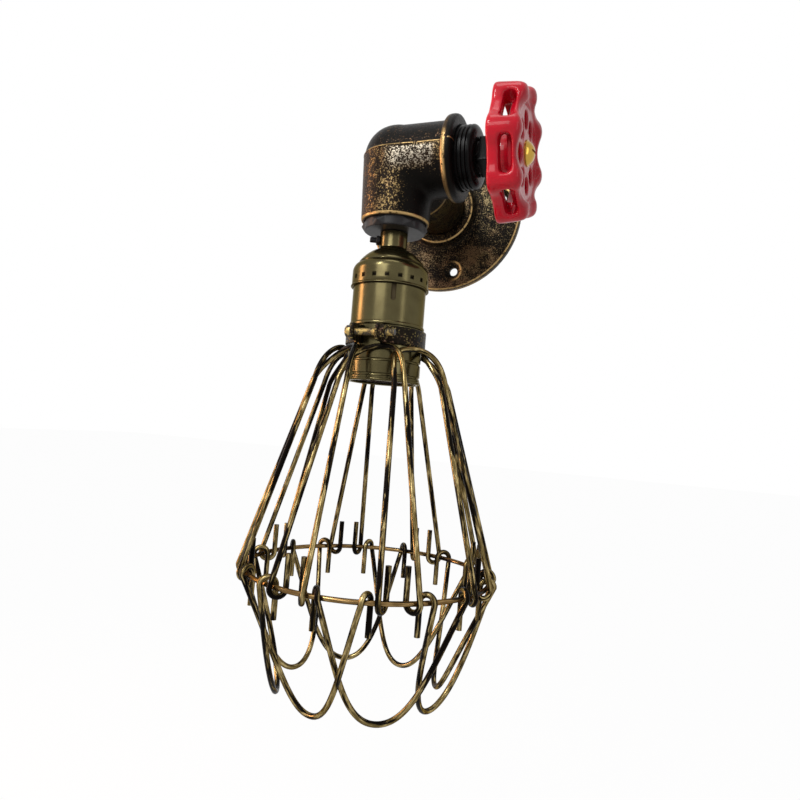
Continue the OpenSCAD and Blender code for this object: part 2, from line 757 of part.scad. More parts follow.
module handwheel() {
    color("#b01c2e") at_lamp() translate([wheel_x, 0, 0]) along_x() difference() {
        union() {
            difference() {
                wheel_blank();
                translate([0, 0, -cut]) cylinder(h = wheel_w + 2 * cut, r = dish_r);
            }
            translate([0, 0, web_x - wheel_x]) cylinder(h = web_t, r = dish_r + cut);
            translate([0, 0, web_x - wheel_x - hub_back])
                cylinder(h = web_t + hub_back, r = hub_r);
        }
        for (i = [0 : lobe_count - 1])
            rotate([0, 0, lobe_pitch * (i + 0.5)]) {
                translate([dish_r - cut, -window_l / 2, rim_back_w])
                    cube([wheel_d, window_l, window_w]);
                translate([web_hole_circle_d / 2, 0, wheel_w + scallop_r - scallop_depth])
                    along_x() cylinder(h = wheel_d, r = scallop_r);
                translate([web_hole_circle_d / 2, 0, 0])
                    cylinder(h = wheel_w, d = web_hole_d, $fn = 32);
            }
        translate([-tang_w / 2 - slip_gap / 2, -tang_w / 2 - slip_gap / 2, 0])
            cube([tang_w + slip_gap, tang_w + slip_gap, wheel_w]);
        cylinder(h = web_x - wheel_x + slip_gap / 2, r = spindle_d / 2 + slip_gap);
    }
}

module wheel_washer() {
    color("#b9953b") at_lamp() translate([web_x + web_t, 0, 0]) along_x() difference() {
        cylinder(h = washer_t, d = washer_d);
        translate([0, 0, -cut]) cylinder(h = washer_t + 2 * cut, r = dome_shank_d / 2 + slip_gap);
    }
}

module dome_screw() {
    dome_ball_r = (pow(dome_d / 2, 2) + pow(dome_h, 2)) / (2 * dome_h);
    slot_w = 1.2;
    color("#c9a24a") at_lamp() translate([web_x + web_t + washer_t, 0, 0]) along_x() {
        difference() {
            intersection() {
                translate([0, 0, dome_h - dome_ball_r]) sphere(r = dome_ball_r, $fn = 96);
                cylinder(h = dome_h + cut, d = dome_d + cut);
            }
            translate([-slot_w / 2, -dome_d, dome_h - slot_w]) cube([slot_w, 2 * dome_d, dome_h]);
        }
        translate([0, 0, washer_t - dome_shank_l])
            cylinder(h = dome_shank_l, d = dome_shank_d, $fn = 32);
    }
}

wall_flange();
pipe_nipple();
side_outlet_elbow();
hex_bushing();
lamp_tube();
socket_cap();
neck_set_screw();
socket_shell();
shell_liner();
lamp_insert();
screw_shell();
centre_contact();
terminal_screws();
lead_live();
lead_neutral();
clamp_band();
clamp_screw();
clamp_nut();
cage_ring();
for (number = [1 : cage_count])
    hairpin(number);
for (number = [1 : cage_count])
    petal(number);
side_plug();
valve_bonnet();
spindle();
handwheel();
wheel_washer();
dome_screw();
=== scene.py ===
"""Looks of a cage wall light made of pipe fittings, dressed around its packed construction.

Metres in the scene, millimetres in every named size. The wall is the plane Y = 0, the light
reaches out along -Y and the handwheel sits on the +X side.
"""

import logging
import math
from abc import ABC, abstractmethod
from collections.abc import Iterable, Iterator, Sequence
from contextlib import contextmanager
from dataclasses import dataclass
from enum import Enum
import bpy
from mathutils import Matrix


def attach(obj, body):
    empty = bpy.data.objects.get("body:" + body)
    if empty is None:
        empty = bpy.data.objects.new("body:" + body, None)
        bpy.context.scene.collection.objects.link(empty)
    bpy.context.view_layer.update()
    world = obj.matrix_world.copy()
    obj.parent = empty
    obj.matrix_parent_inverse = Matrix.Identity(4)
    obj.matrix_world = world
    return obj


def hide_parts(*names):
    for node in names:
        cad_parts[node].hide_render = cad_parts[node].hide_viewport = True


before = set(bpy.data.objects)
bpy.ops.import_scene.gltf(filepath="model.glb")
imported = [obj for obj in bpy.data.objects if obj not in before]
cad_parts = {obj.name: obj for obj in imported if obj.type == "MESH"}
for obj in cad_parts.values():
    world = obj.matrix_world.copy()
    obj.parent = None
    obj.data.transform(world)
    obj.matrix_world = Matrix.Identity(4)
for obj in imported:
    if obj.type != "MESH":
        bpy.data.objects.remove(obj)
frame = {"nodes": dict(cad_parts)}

from types import SimpleNamespace

import bmesh
import bpy
from mathutils import Matrix, Vector

MM = 0.001
REACH = 88.0
MERGED = 1e-5
HEX_HALF = math.pi / 6
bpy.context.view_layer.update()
LOG = logging.getLogger("cage_light")

Colour = tuple[float, float, float, float]
Point = tuple[float, float, float]
Spot = tuple[float, float]

WHITE = (1, 1, 1, 1)


class Body(Enum):
    """Rigid bodies of the construction that a piece can ride on."""

    FITTING = "fitting"
    WHEEL = "valve_wheel"


class Axis(Enum):
    """Direction that a turned piece is turned about."""

    UP = (0.0, 0.0, 1.0)
    SIDE = (1.0, 0.0, 0.0)


# ---- Node trees --------------------------------------------------------------------


class Value:
    """A node's output socket that takes part in Python arithmetic."""

    def __init__(self, graph: "Graph", socket: bpy.types.NodeSocket) -> None:
        """Keep the socket and the graph that it belongs to.

        Args:
            graph: The graph that new maths nodes are added to.
            socket: The output socket.
        """
        self.graph = graph
        self.socket = socket

    def _maths(self, operation: str, *operands: "Value | float") -> "Value":
        """Add one maths node.

        Args:
            operation: Name of the operation.
            operands: What goes into it, in order.

        Returns:
            The result.
        """
        return self.graph.node("ShaderNodeMath", {"operation": operation}, dict(enumerate(operands)))

    def __add__(self, other: "Value | float") -> "Value":
        """Sum."""
        return self._maths("ADD", self, other)

    __radd__ = __add__

    def __sub__(self, other: "Value | float") -> "Value":
        """Difference."""
        return self._maths("SUBTRACT", self, other)

    def __rsub__(self, other: "Value | float") -> "Value":
        """Difference from a number."""
        return self._maths("SUBTRACT", other, self)

    def __mul__(self, other: "Value | float") -> "Value":
        """Product."""
        return self._maths("MULTIPLY", self, other)

    __rmul__ = __mul__

    def __truediv__(self, other: "Value | float") -> "Value":
        """Quotient."""
        return self._maths("DIVIDE", self, other)

    def __neg__(self) -> "Value":
        """Opposite."""
        return self._maths("MULTIPLY", self, -1.0)

    def __abs__(self) -> "Value":
        """Size without its sign."""
        return self._maths("ABSOLUTE", self)

    def __pow__(self, power: float) -> "Value":
        """Power."""
        return self._maths("POWER", self, power)

    def sine(self) -> "Value":
        """Sine of an angle in radians."""
        return self._maths("SINE", self)

    def cosine(self) -> "Value":
        """Cosine of an angle in radians."""
        return self._maths("COSINE", self)

    def heading(self, other: "Value") -> "Value":
        """Angle of the point (other, self), in radians."""
        return self._maths("ARCTAN2", self, other)

    def least(self, other: "Value | float", blend: float = 0.0) -> "Value":
        """Lower of two values, rounded over where they are within blend of each other."""
        if blend:
            return self._maths("SMOOTH_MIN", self, other, blend)
        return self._maths("MINIMUM", self, other)

    def most(self, other: "Value | float", blend: float = 0.0) -> "Value":
        """Higher of two values, rounded over where they are within blend of each other."""
        if blend:
            return self._maths("SMOOTH_MAX", self, other, blend)
        return self._maths("MAXIMUM", self, other)

    def rise(self, low: "Value | float", high: "Value | float") -> "Value":
        """Smooth step from 0 at low to 1 at high."""
        settings = {"interpolation_type": "SMOOTHSTEP"}
        return self.graph.node("ShaderNodeMapRange", settings, {0: self, 1: low, 2: high})

    def part(self, name: str) -> "Value":
        """Another output of the same node."""
        return Value(self.graph, self.socket.node.outputs[name])


class Graph:
    """A node tree to which every node is added by one method."""

    def __init__(self, tree: bpy.types.NodeTree) -> None:
        """Keep the tree."""
        self.tree = tree

    def node(
        self,
        kind: str,
        settings: dict[str, object] | None = None,
        inputs: dict[int | str, object] | None = None,
        output: int | str = 0,
    ) -> "Value | None":
        """Add a node, set it and link it.

        Args:
            kind: The node's type.
            settings: Its properties, and "stops" for a colour ramp.
            inputs: Values or links by socket name or number.
            output: The output that is handed back.

        Returns:
            That output, or nothing for a node that has none.
        """
        made = self.tree.nodes.new(kind)
        for name, value in (settings or {}).items():
            if name == "stops":
                self._set_stops(made.color_ramp, value)
            else:
                setattr(made, name, value)
        for key, value in (inputs or {}).items():
            if isinstance(value, Value):
                self.tree.links.new(value.socket, made.inputs[key])
            else:
                made.inputs[key].default_value = value
        return Value(self, made.outputs[output]) if made.outputs else None

    @staticmethod
    def _set_stops(ramp: bpy.types.ColorRamp, stops: Sequence[tuple[float, Colour]]) -> None:
        """Give a ramp its stops.

        Args:
            ramp: The ramp, with two stops of its own.
            stops: Place and colour of each stop, in order.
        """
        for _ in stops[2:]:
            ramp.elements.new(1.0)
        for element, (place, colour) in zip(ramp.elements, stops):
            element.position = place
            element.color = colour

    def vector(self, x: Value | float, y: Value | float, z: Value | float) -> Value:
        """Vector of three values."""
        return self.node("ShaderNodeCombineXYZ", None, {0: x, 1: y, 2: z})

    def mix(self, share: Value | float, first: Value | Colour, second: Value | Colour) -> Value:
        """Colour between two colours."""
        settings = {"data_type": "RGBA"}
        return self.node("ShaderNodeMix", settings, {0: share, 6: first, 7: second}, 2)


class Skin(Graph):
    """The node tree of a surface finish, in millimetres of Object coordinates."""

    def __init__(self, material: bpy.types.Material) -> None:
        """Start from the tree of a new material, with its shader.

        Args:
            material: The material.
        """
        material.use_nodes = True
        super().__init__(material.node_tree)
        self.tree.nodes.clear()
        self.surface = self.node("ShaderNodeBsdfPrincipled")
        self.shader = self.surface.socket.node
        metres = self.node("ShaderNodeTexCoord", None, None, "Object")
        scale = {"operation": "SCALE"}
        self.place = self.node("ShaderNodeVectorMath", scale, {0: metres, "Scale": 1 / MM})

    def noise(
        self, grain: float, detail: float = 3.0, place: Value | None = None, drift: float = 0.0
    ) -> Value:
        """Fractal noise.

        Args:
            grain: Size of its features in millimetres.
            detail: How many finer octaves it has.
            place: Where it is read, the surface's own place if not given.
            drift: How much it is warped.

        Returns:
            The noise, around 0.5.
        """
        values = {"Scale": 1 / grain, "Detail": detail, "Roughness": 0.6, "Distortion": drift}
        return self.node("ShaderNodeTexNoise", None, {"Vector": place or self.place, **values})

    def axes(self) -> tuple[Value, Value, Value]:
        """The three coordinates of the surface's place, in millimetres."""
        split = self.node("ShaderNodeSeparateXYZ", None, {0: self.place})
        return split, split.part("Y"), split.part("Z")

    def ring(self, a: Value, b: Value) -> Value:
        """Distance from the line where a and b are 0."""
        return (a * a + b * b) ** 0.5

    def line(self, value: Value, centre: float, width: float) -> Value:
        """1 on a line of the given width round a value, fading to 0 at its sides."""
        return (width / 2 - abs(value - centre)).rise(0.0, width / 3)

    def stretched(self, x: float, y: float, z: float) -> Value:
        """The surface's place, with each axis scaled by itself."""
        return self.node("ShaderNodeVectorMath", {"operation": "MULTIPLY"}, {0: self.place, 1: (x, y, z)})

    def convex(self, low: float, high: float) -> Value:
        """Share of an edge that stands proud, from the mesh's own curvature."""
        return self.node("ShaderNodeNewGeometry", None, None, "Pointiness").rise(low, high)

    def relief(self, height: Value, depth: float, strength: float) -> Value:
        """Bump.

        Args:
            height: Height from 0 to 1.
            depth: What 1 stands for, in millimetres.
            strength: Share of it that shows.

        Returns:
            The bent normal.
        """
        inputs = {"Height": height, "Distance": depth * MM, "Strength": strength}
        return self.node("ShaderNodeBump", None, inputs)

    def feed(self, **sockets: object) -> None:
        """Set or link the shader's sockets.

        Args:
            sockets: Value or link of each socket, named with underscores for spaces.
        """
        for name, value in sockets.items():
            socket = self.shader.inputs[name.replace("_", " ")]
            if isinstance(value, Value):
                self.tree.links.new(value.socket, socket)
            else:
                socket.default_value = value

    def close(self) -> None:
        """End the tree with what the surface shows."""
        self.node("ShaderNodeOutputMaterial", None, {"Surface": self.surface})


# ---- Finishes ----------------------------------------------------------------------


@dataclass(frozen=True)
class Finish(ABC):
    """A surface finish, made into one material the first time that it is used."""

    name: str
    slot: str

    @property
    def material(self) -> bpy.types.Material:
        """The finish's material.

        Returns:
            The material, under a name that no material of the construction has.
        """
        title = self.name + "_finish"
        made = bpy.data.materials.get(title)
        if made is None:
            made = bpy.data.materials.new(title)
            skin = Skin(made)
            self.paint(skin)
            skin.close()
        return made

    @abstractmethod
    def paint(self, skin: Skin) -> None:
        """Build the finish's nodes.

        Args:
            skin: The material's tree.
        """


@dataclass(frozen=True)
class RubbedCasting(Finish):
    """Black cast iron with gold rubbed over its grain and edges."""

    iron: Colour = (0.0035, 0.0032, 0.003, 1)
    brown: Colour = (0.015, 0.0095, 0.006, 1)
    gold: Colour = (0.19, 0.13, 0.055, 1)
    copper: Colour = (0.115, 0.066, 0.042, 1)
    edge: Colour = (0.36, 0.24, 0.10, 1)
    # Painted highlight: pale tint of the flecks where a lamp's reflection falls.
    pale: Colour = (0.25, 0.22, 0.17, 1)
    sheen: Colour = (0.5, 0.45, 0.38, 1)
    cover: float = 0.6
    grain: float = 1.0
    level: float = 0.635
    soft: float = 0.07
    bare_edges: float = 1.0

    def zones(self, skin: Skin) -> tuple[Value, Value, Value]:
        """Where the gold lies.

        Args:
            skin: The material's tree.

        Returns:
            How thick the flecks lie, how coppery they are and how much of an edge is bare gold.
        """
        thick = skin.noise(14.0, 2.0).rise(0.35, 0.65)
        return thick, skin.noise(9.0, 2.0).rise(0.45, 0.6), skin.convex(0.53, 0.60)

    def wear_and_painted_highlight(self, skin: Skin) -> Value | float:
        """Where the flecks are painted pale as a highlight; nowhere on a plain casting."""
        return 0.0

    def paint(self, skin: Skin) -> None:
        """Build the finish's nodes.

        Args:
            skin: The material's tree.
        """
        thick, coppery, edges = self.zones(skin)
        grain = skin.noise(self.grain, 3.0, drift=0.5)
        coarse = skin.noise(self.grain * 3.5, 2.0)
        depth = grain * 0.8 + coarse * 0.2 + thick * (0.10 * self.cover)
        flecks = depth.rise(self.level - self.soft / 2, self.level + self.soft / 2)
        broken = edges * skin.noise(2.6, 3.0).rise(0.30, 0.45) * self.bare_edges
        rubbed = flecks.most(broken)
        tint = skin.mix(broken, skin.mix(coppery, self.gold, self.copper), self.edge)
        # Painted highlight: flecks turn pale in its zone.
        tint = skin.mix(self.wear_and_painted_highlight(skin), tint, self.pale)
        dust = skin.mix((coarse * 0.5 + thick * 0.4).rise(0.3, 0.8), self.iron, self.brown)
        skin.feed(
            Base_Color=skin.mix(rubbed, dust, tint),
            Metallic=0.85 * rubbed,
            Roughness=0.36 - 0.04 * rubbed,
            Specular_IOR_Level=0.08,
            Specular_Tint=self.sheen,
            Normal=skin.relief(grain * 0.7 + coarse * 0.3, 0.5, 0.6),
        )


@dataclass(frozen=True)
class ElbowCasting(RubbedCasting):
    """The elbow's casting: dense flecks below its seam, few above, and gold on every rim."""

    seam_z: float = 2.0
    rim_z: float = -33.5
    rim_r: Spot = (17.2, 17.9)
    back_y: float = 34.2
    back_r: Spot = (17.6, 18.2)
    bead_x: float = 31.4
    bead_r: Spot = (20.6, 21.4)
    bead_top: Spot = (4.0, 9.0)
    bead_foot: Spot = (12.0, 18.0)
    nose_x: Spot = (32.4, 33.4)
    crotch_x: Spot = (6.0, 15.0)
    crotch_z: Spot = (8.0, 15.0)
    # Painted warm reflection: the left side's flecks turn coppery.
    warm_reflection_x: Spot = (8.0, 15.0)
    # Zone of the painted highlight on the side leg's front.
    painted_highlight_from: Spot = (-4.0, 6.0)
    painted_highlight_to: Spot = (24.0, 28.0)
    painted_highlight_low: Spot = (6.0, 13.0)

    def zones(self, skin: Skin) -> tuple[Value, Value, Value]:
        """Where the gold lies.

        Args:
            skin: The material's tree.

        Returns:
            How thick the flecks lie, how coppery they are and how much of an edge is bare gold.
        """
        x, y, z = skin.axes()
        y = y + REACH
        cloud = skin.noise(11.0, 2.0).rise(0.3, 0.6)
        upper = z.rise(self.seam_z - 0.3, self.seam_z + 0.3)
        crotch = x.rise(*self.crotch_x) * (-z).rise(*self.crotch_z)
        nose = x.rise(*self.nose_x)
        thick = (cloud * 0.7 + 0.4) * (1 - 0.8 * upper) * (1 - 0.9 * crotch) * (1 - 0.8 * nose)
        # Flecks lie denser in the painted highlight.
        thick = thick - 0.8 * crotch - 0.5 * nose + 0.55 * self.wear_and_painted_highlight(skin)
        blush = skin.noise(6.0, 2.0).rise(0.5, 0.65) * 0.35
        # Coppery flecks: a painted warm reflection on the left side, with copper tone on top and in random
        # blushes.
        coppery = ((-x).rise(*self.warm_reflection_x) + 0.8 * upper + blush).least(1.0)
        seam = skin.line(z, self.seam_z + 0.1, 1.0) * skin.noise(7.0, 2.0).rise(0.28, 0.42)
        rim = skin.line(z, self.rim_z, 2.0) * skin.ring(x, y).rise(*self.rim_r)
        back = skin.line(y, self.back_y, 3.6) * skin.ring(x, z).rise(*self.back_r)
        bead = skin.line(x, self.bead_x, 4.2) * skin.ring(y, z).rise(*self.bead_r)
        bead = bead * (1 - 0.8 * z.rise(*self.bead_top)) * (1 - 0.5 * (-z).rise(*self.bead_foot))
        return thick, coppery * (1 - bead), seam.most(rim).most(bead).most(back)

    def wear_and_painted_highlight(self, skin: Skin) -> Value:
        """Painted highlight: pale flecks on the front of the side leg, under the seam."""
        x, _, z = skin.axes()
        across = x.rise(*self.painted_highlight_from) * (1 - x.rise(*self.painted_highlight_to))
        return across * (self.seam_z - z).rise(0.5, 2.0) * (1 - (-z).rise(*self.painted_highlight_low))


@dataclass(frozen=True)
class FlangeCasting(RubbedCasting):
    """The flange's casting: fine flecks, painted shade on and round the hub, and gold on the rims of plate,
    hub and holes.
    """

    plate_r: float = 51.2
    plate_y: Spot = (4.2, 5.0)
    foot_y: float = -2.2
    foot_z: Spot = (34.0, 48.0)
    foot_r: Spot = (50.0, 51.0)
    hub_r: float = 22.0
    hub_y: Spot = (14.0, 14.6)
    # Painted shade: the ring on and round the hub where the flecks thin out.
    hub_shade_from: Spot = (15.0, 22.0)
    hub_shade_to: Spot = (27.0, 30.0)
    copper_z: Spot = (30.0, 50.0)
    holes: int = 4
    circle_r: float = 40.0
    first_hole: float = -77.0
    sink_r: float = 6.1
    sink_side: Spot = (-2.0, 4.0)

    def zones(self, skin: Skin) -> tuple[Value, Value, Value]:
        """Where the gold lies.

        Args:
            skin: The material's tree.

        Returns:
            How thick the flecks lie, how coppery they are and how much of an edge is bare gold.
        """
        x, y, z = skin.axes()
        ring = skin.ring(x, z)
        # Painted shade on and round the hub: fewer flecks there.
        bare = ring.rise(*self.hub_shade_from) - ring.rise(*self.hub_shade_to)
        thick = skin.noise(16.0, 2.0).rise(0.35, 0.65) * (1 - 0.8 * bare)
        low = (-z).rise(*self.copper_z)
        coppery = (skin.noise(8.0, 2.0).rise(0.4, 0.6) * 0.7 + low * 0.5).least(1.0)
        plate = skin.line(ring, self.plate_r, 1.4) * (-y).rise(*self.plate_y)
        hub = skin.line(ring, self.hub_r, 1.5) * (-y).rise(*self.hub_y)
        foot = skin.line(y, self.foot_y, 2.4) * (-z).rise(*self.foot_z) * ring.rise(*self.foot_r)
        edges = plate.most(hub).most(foot)
        for number in range(self.holes):
            angle = math.radians(self.first_hole + 360 / self.holes * number)
            across = x - self.circle_r * math.cos(angle)
            hole = skin.ring(across, z - self.circle_r * math.sin(angle))
            right = across.rise(*self.sink_side) * 0.9 + 0.1
            edges = edges.most(skin.line(hole, self.sink_r, 2.0) * right)
        return thick, coppery, edges


@dataclass(frozen=True)
class AntiqueBrass(Finish):
    """Spun sheet brass, darkened to olive."""

    base: Colour = (0.092, 0.078, 0.036, 1)
    dark: Colour = (0.056, 0.045, 0.020, 1)
    # Painted shade: the black of recesses, creases and the lip's lower edge.
    black: Colour = (0.004, 0.003, 0.002, 1)
    sheen: Colour = (0.60, 0.55, 0.45, 1)
    roughness: float = 0.17

    def painted_shade(self, skin: Skin) -> Value | float:
        """Share of the surface that lies in a recess, painted black as shade."""
        return 0.0

    def paint(self, skin: Skin) -> None:
        """Build the finish's nodes.

        Args:
            skin: The material's tree.
        """
        lines = skin.noise(1.0, 2.0, skin.stretched(0.05, 0.05, 4.0))
        cloud = skin.noise(12.0, 3.0)
        colour = skin.mix(cloud.rise(0.35, 0.7) * 0.6 + lines * 0.25, self.base, self.dark)
        skin.feed(
            # Painted shade goes black over the brass.
            Base_Color=skin.mix(self.painted_shade(skin), colour, self.black),
            Metallic=0.95,
            Roughness=self.roughness + 0.10 * cloud,
            Specular_Tint=self.sheen,
            Normal=skin.relief(lines, 0.02, 0.4),
        )


@dataclass(frozen=True)
class CapBrass(AntiqueBrass):
    """The cap's brass, with shade painted black in its dimples, in the crease under its dome and along its
    lip.
    """

    wall_r: float = 21.0
    dimple_z: float = -67.0
    crease_z: float = -57.55
    lip_z: float = -71.4

    def painted_shade(self, skin: Skin) -> Value:
        """Share of the surface painted black as shade: in a dimple, in the crease and along the lip's lower
        edge.

        Args:
            skin: The material's tree.

        Returns:
            The share, from 0 to 1.
        """
        x, y, z = skin.axes()
        # Painted shade: black in the dimples, in the crease under the dome and along the lip's lower edge.
        inward = (self.wall_r - skin.ring(x, y + REACH)).rise(0.15, 0.35)
        lines = (skin.line(z, self.crease_z, 0.5) * 0.8).most(skin.line(z, self.lip_z, 1.1))
        return (inward * skin.line(z, self.dimple_z, 2.6)).most(lines)


@dataclass(frozen=True)
class WashedWire(Finish):
    """Blackened wire with a worn gold wash. It reads the wire's own length and turn."""

    gold: Colour = (0.120, 0.086, 0.031, 1)
    light: Colour = (0.44, 0.34, 0.155, 1)
    black: Colour = (0.004, 0.0032, 0.0028, 1)
    sheen: Colour = (0.16, 0.12, 0.07, 1)
    bare: float = 0.49
    fade: float = 0.07
    patch_l: float = 30.0
    scuff_l: float = 7.0

    def paint(self, skin: Skin) -> None:
        """Build the finish's nodes.

        Args:
            skin: The material's tree.
        """
        along = skin.node("ShaderNodeAttribute", {"attribute_name": "along"}, None, "Fac") / MM
        seed = skin.node("ShaderNodeAttribute", {"attribute_name": "seed"}, None, "Fac")
        turn = skin.node("ShaderNodeAttribute", {"attribute_name": "turn"}, None, "Vector")
        split = skin.node("ShaderNodeSeparateXYZ", None, {0: turn})
        strip = skin.vector(along / self.patch_l + seed * 7.3, split * 0.6, split.part("Y") * 0.6)
        fine = skin.vector(along / self.scuff_l + seed * 3.1, split * 1.3, split.part("Y") * 1.3)
        patch = skin.noise(1.0, 2.0, strip, 0.3)
        scuff = skin.noise(1.0, 3.0, fine)
        wash = (patch * 0.8 + scuff * 0.25).rise(self.bare, self.bare + self.fade)
        colour = skin.mix(scuff.rise(0.45, 0.7), self.gold, self.light)
        skin.feed(
            Base_Color=skin.mix(wash, self.black, colour),
            Metallic=0.30 + 0.6 * wash,
            Roughness=0.20 + 0.10 * scuff,
            Specular_IOR_Level=0.12,
            Specular_Tint=self.sheen,
            Normal=skin.relief(scuff, 0.10, 0.5),
        )


@dataclass(frozen=True)
class WornBlack(Finish):
    """Blackened steel with brass showing on its edges and in patches."""

    black: Colour = (0.018, 0.016, 0.015, 1)
    gold: Colour = (0.42, 0.30, 0.11, 1)

    def paint(self, skin: Skin) -> None:
        """Build the finish's nodes.

        Args:
            skin: The material's tree.
        """
        patch = skin.noise(4.0, 3.0)
        wear_and_painted_highlight = (skin.convex(0.5, 0.58) * 0.8 + patch.rise(0.5, 0.6)).least(1.0)
        skin.feed(
            Base_Color=skin.mix(wear_and_painted_highlight, self.black, self.gold),
            Metallic=0.4 + 0.5 * wear_and_painted_highlight,
            Roughness=0.32 + 0.1 * patch,
            Normal=skin.relief(skin.noise(0.9, 3.0), 0.05, 0.5),
        )


@dataclass(frozen=True)
class Enamel(Finish):
    """Thick glossy paint over a casting."""

    colour: Colour = (0.43, 0.003, 0.015, 1)
    deep: Colour = (0.34, 0.002, 0.010, 1)

    def paint(self, skin: Skin) -> None:
        """Build the finish's nodes.

        Args:
            skin: The material's tree.
        """
        flow = skin.noise(7.0, 2.0)
        colour = skin.mix(flow.rise(0.4, 0.7) * 0.6, self.colour, self.deep)
        skin.feed(
            Base_Color=colour,
            Roughness=0.28 + 0.06 * flow,
            Specular_IOR_Level=0.08,
            Coat_Weight=0.3,
            Coat_Roughness=0.05,
            Normal=skin.relief(flow, 0.35, 0.4),
        )


@dataclass(frozen=True)
class Plain(Finish):
    """A finish of one colour with its own faint mottle and grain."""

    base: Colour = (0.5, 0.5, 0.5, 1)
    second: Colour = (0.4, 0.4, 0.4, 1)
    metallic: float = 0.0
    roughness: float = 0.4
    grain: float = 2.0
    depth: float = 0.03
    shine: float = 0.5

    def paint(self, skin: Skin) -> None:
        """Build the finish's nodes.

        Args:
            skin: The material's tree.
        """
        mottle = skin.noise(self.grain * 4, 3.0)
        fine = skin.noise(self.grain, 4.0)
        skin.feed(
            Base_Color=skin.mix(mottle.rise(0.35, 0.65), self.base, self.second),
            Metallic=self.metallic,
            Roughness=self.roughness + 0.1 * (fine - 0.5),
            Specular_IOR_Level=self.shine,
            Normal=skin.relief(fine, self.depth, 0.5),
        )


ELBOW_CASTING = ElbowCasting("rubbed_elbow", "cast_fitting", cover=0.9, grain=0.85)
FLANGE_CASTING = FlangeCasting(
    "rubbed_flange", "cast_fitting", gold=(0.15, 0.115, 0.058, 1), copper=(0.12, 0.076, 0.042, 1),
    cover=1.4, grain=0.75, level=0.60, soft=0.15
)
PIPE_CASTING = RubbedCasting(
    "rubbed_pipe", "cast_fitting", gold=(0.075, 0.055, 0.022, 1), copper=(0.06, 0.036, 0.017, 1),
    cover=0.8, level=0.54, soft=0.14, bare_edges=0.0
)
BRASS = AntiqueBrass("antique_brass", "antique_brass")
CAP_BRASS = CapBrass("cap_brass", "antique_brass")
BAND_BRASS = RubbedCasting(
    "rubbed_band", "antique_brass", iron=(0.009, 0.007, 0.005, 1), gold=(0.24, 0.19, 0.07, 1),
    edge=(0.26, 0.20, 0.075, 1), cover=0.6, level=0.62
)
WIRE = WashedWire("washed_wire", "cage_wire")
RING_WIRE = WashedWire(
    "washed_ring", "ring_wire", (0.15, 0.09, 0.034, 1), (0.32, 0.21, 0.085, 1), bare=0.42
)
ENAMEL = Enamel("red_enamel", "red_enamel")
BLACK_PLASTIC = Plain(
    "black_plastic", "black_plastic", (0.0025, 0.0025, 0.0025, 1), (0.004, 0.004, 0.004, 1),
    roughness=0.26, shine=0.06
)
DARK_STEEL = Plain(
    "dark_steel", "dark_steel", (0.017, 0.016, 0.017, 1), (0.011, 0.0105, 0.011, 1), shine=0.14
)
SCREW_GOLD = WornBlack("gold_black_screw", "dark_steel")
BRIGHT_STEEL = Plain(
    "bright_steel", "bright_steel", (0.45, 0.44, 0.40, 1), (0.36, 0.35, 0.32, 1), 0.95, 0.35
)
BRIGHT_BRASS = Plain(
    "polished_brass", "polished_brass", (0.46, 0.29, 0.055, 1), (0.38, 0.22, 0.04, 1), 1.0, 0.16
)
PHENOLIC = Plain("phenolic", "phenolic", (0.045, 0.03, 0.02, 1), (0.03, 0.02, 0.014, 1), roughness=0.3)
LINER = Plain(
    "liner", "liner", (0.060, 0.044, 0.020, 1), (0.045, 0.032, 0.015, 1), roughness=0.75, shine=0.2
)
RED_LEAD = Plain("lead_red", "lead_red", (0.33, 0.02, 0.015, 1), (0.28, 0.02, 0.012, 1), roughness=0.45)
WHITE_LEAD = Plain("lead_white", "lead_white", (0.68, 0.66, 0.60, 1), (0.60, 0.58, 0.52, 1), roughness=0.45)


# ---- Making pieces -----------------------------------------------------------------


def place_piece(piece: bpy.types.Object, finish: Finish, body: Body | str, *nodes: str) -> None:
    """Dress a piece, let it ride on its body and stand for nodes of the construction.

    Args:
        piece: The piece, with its place in its mesh.
        finish: Its finish.
        body: Name of the body that it moves with.
        nodes: Nodes that it stands for.
    """
    piece.data.materials.clear()
    piece.data.materials.append(finish.material)
    ridden = body.value if isinstance(body, Body) else body
    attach(piece, ridden)
    if nodes:
        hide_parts(*nodes)
    LOG.info("%s: %d faces on %s", piece.name, len(piece.data.polygons), ridden)


def new_piece(name: str, mesh: bpy.types.Mesh) -> bpy.types.Object:
    """Put a mesh in the scene as an object at the origin.

    Args:
        name: The piece's name.
        mesh: Its mesh.

    Returns:
        The object.
    """
    mesh.name = name
    piece = bpy.data.objects.new(name, mesh)
    bpy.context.scene.collection.objects.link(piece)
    return piece


@contextmanager
def editing(mesh: bpy.types.Mesh) -> Iterator[bmesh.types.BMesh]:
    """Open a mesh to work on it, and put the work back into it at the end.

    Args:
        mesh: The mesh.

    Yields:
        Its points, edges and faces.
    """
    form = bmesh.new()
    form.from_mesh(mesh)
    yield form
    form.to_mesh(mesh)
    form.free()


def shade(mesh: bpy.types.Mesh, crease: float = 35.0) -> None:
    """Shade a mesh smooth, but keep edges sharper than crease degrees.

    Args:
        mesh: The mesh.
        crease: Least angle between two faces that stays sharp.
    """
    with editing(mesh) as form:
        bmesh.ops.recalc_face_normals(form, faces=form.faces)
        for face in form.faces:
            face.smooth = True
        for edge in form.edges:
            edge.smooth = len(edge.link_faces) != 2 or edge.calc_face_angle(0) < math.radians(crease)


def hang(mesh: bpy.types.Mesh, turn: float = 0.0) -> None:
    """Bring a mesh from millimetres round the lamp's axis to its place in the frame.

    Args:
        mesh: The mesh.
        turn: Turn about that axis, in degrees.
    """
    spin = Matrix.Rotation(math.radians(turn), 4, "Z")
    mesh.transform(Matrix.Translation((0, -REACH * MM, 0)) @ spin @ Matrix.Scale(MM, 4))


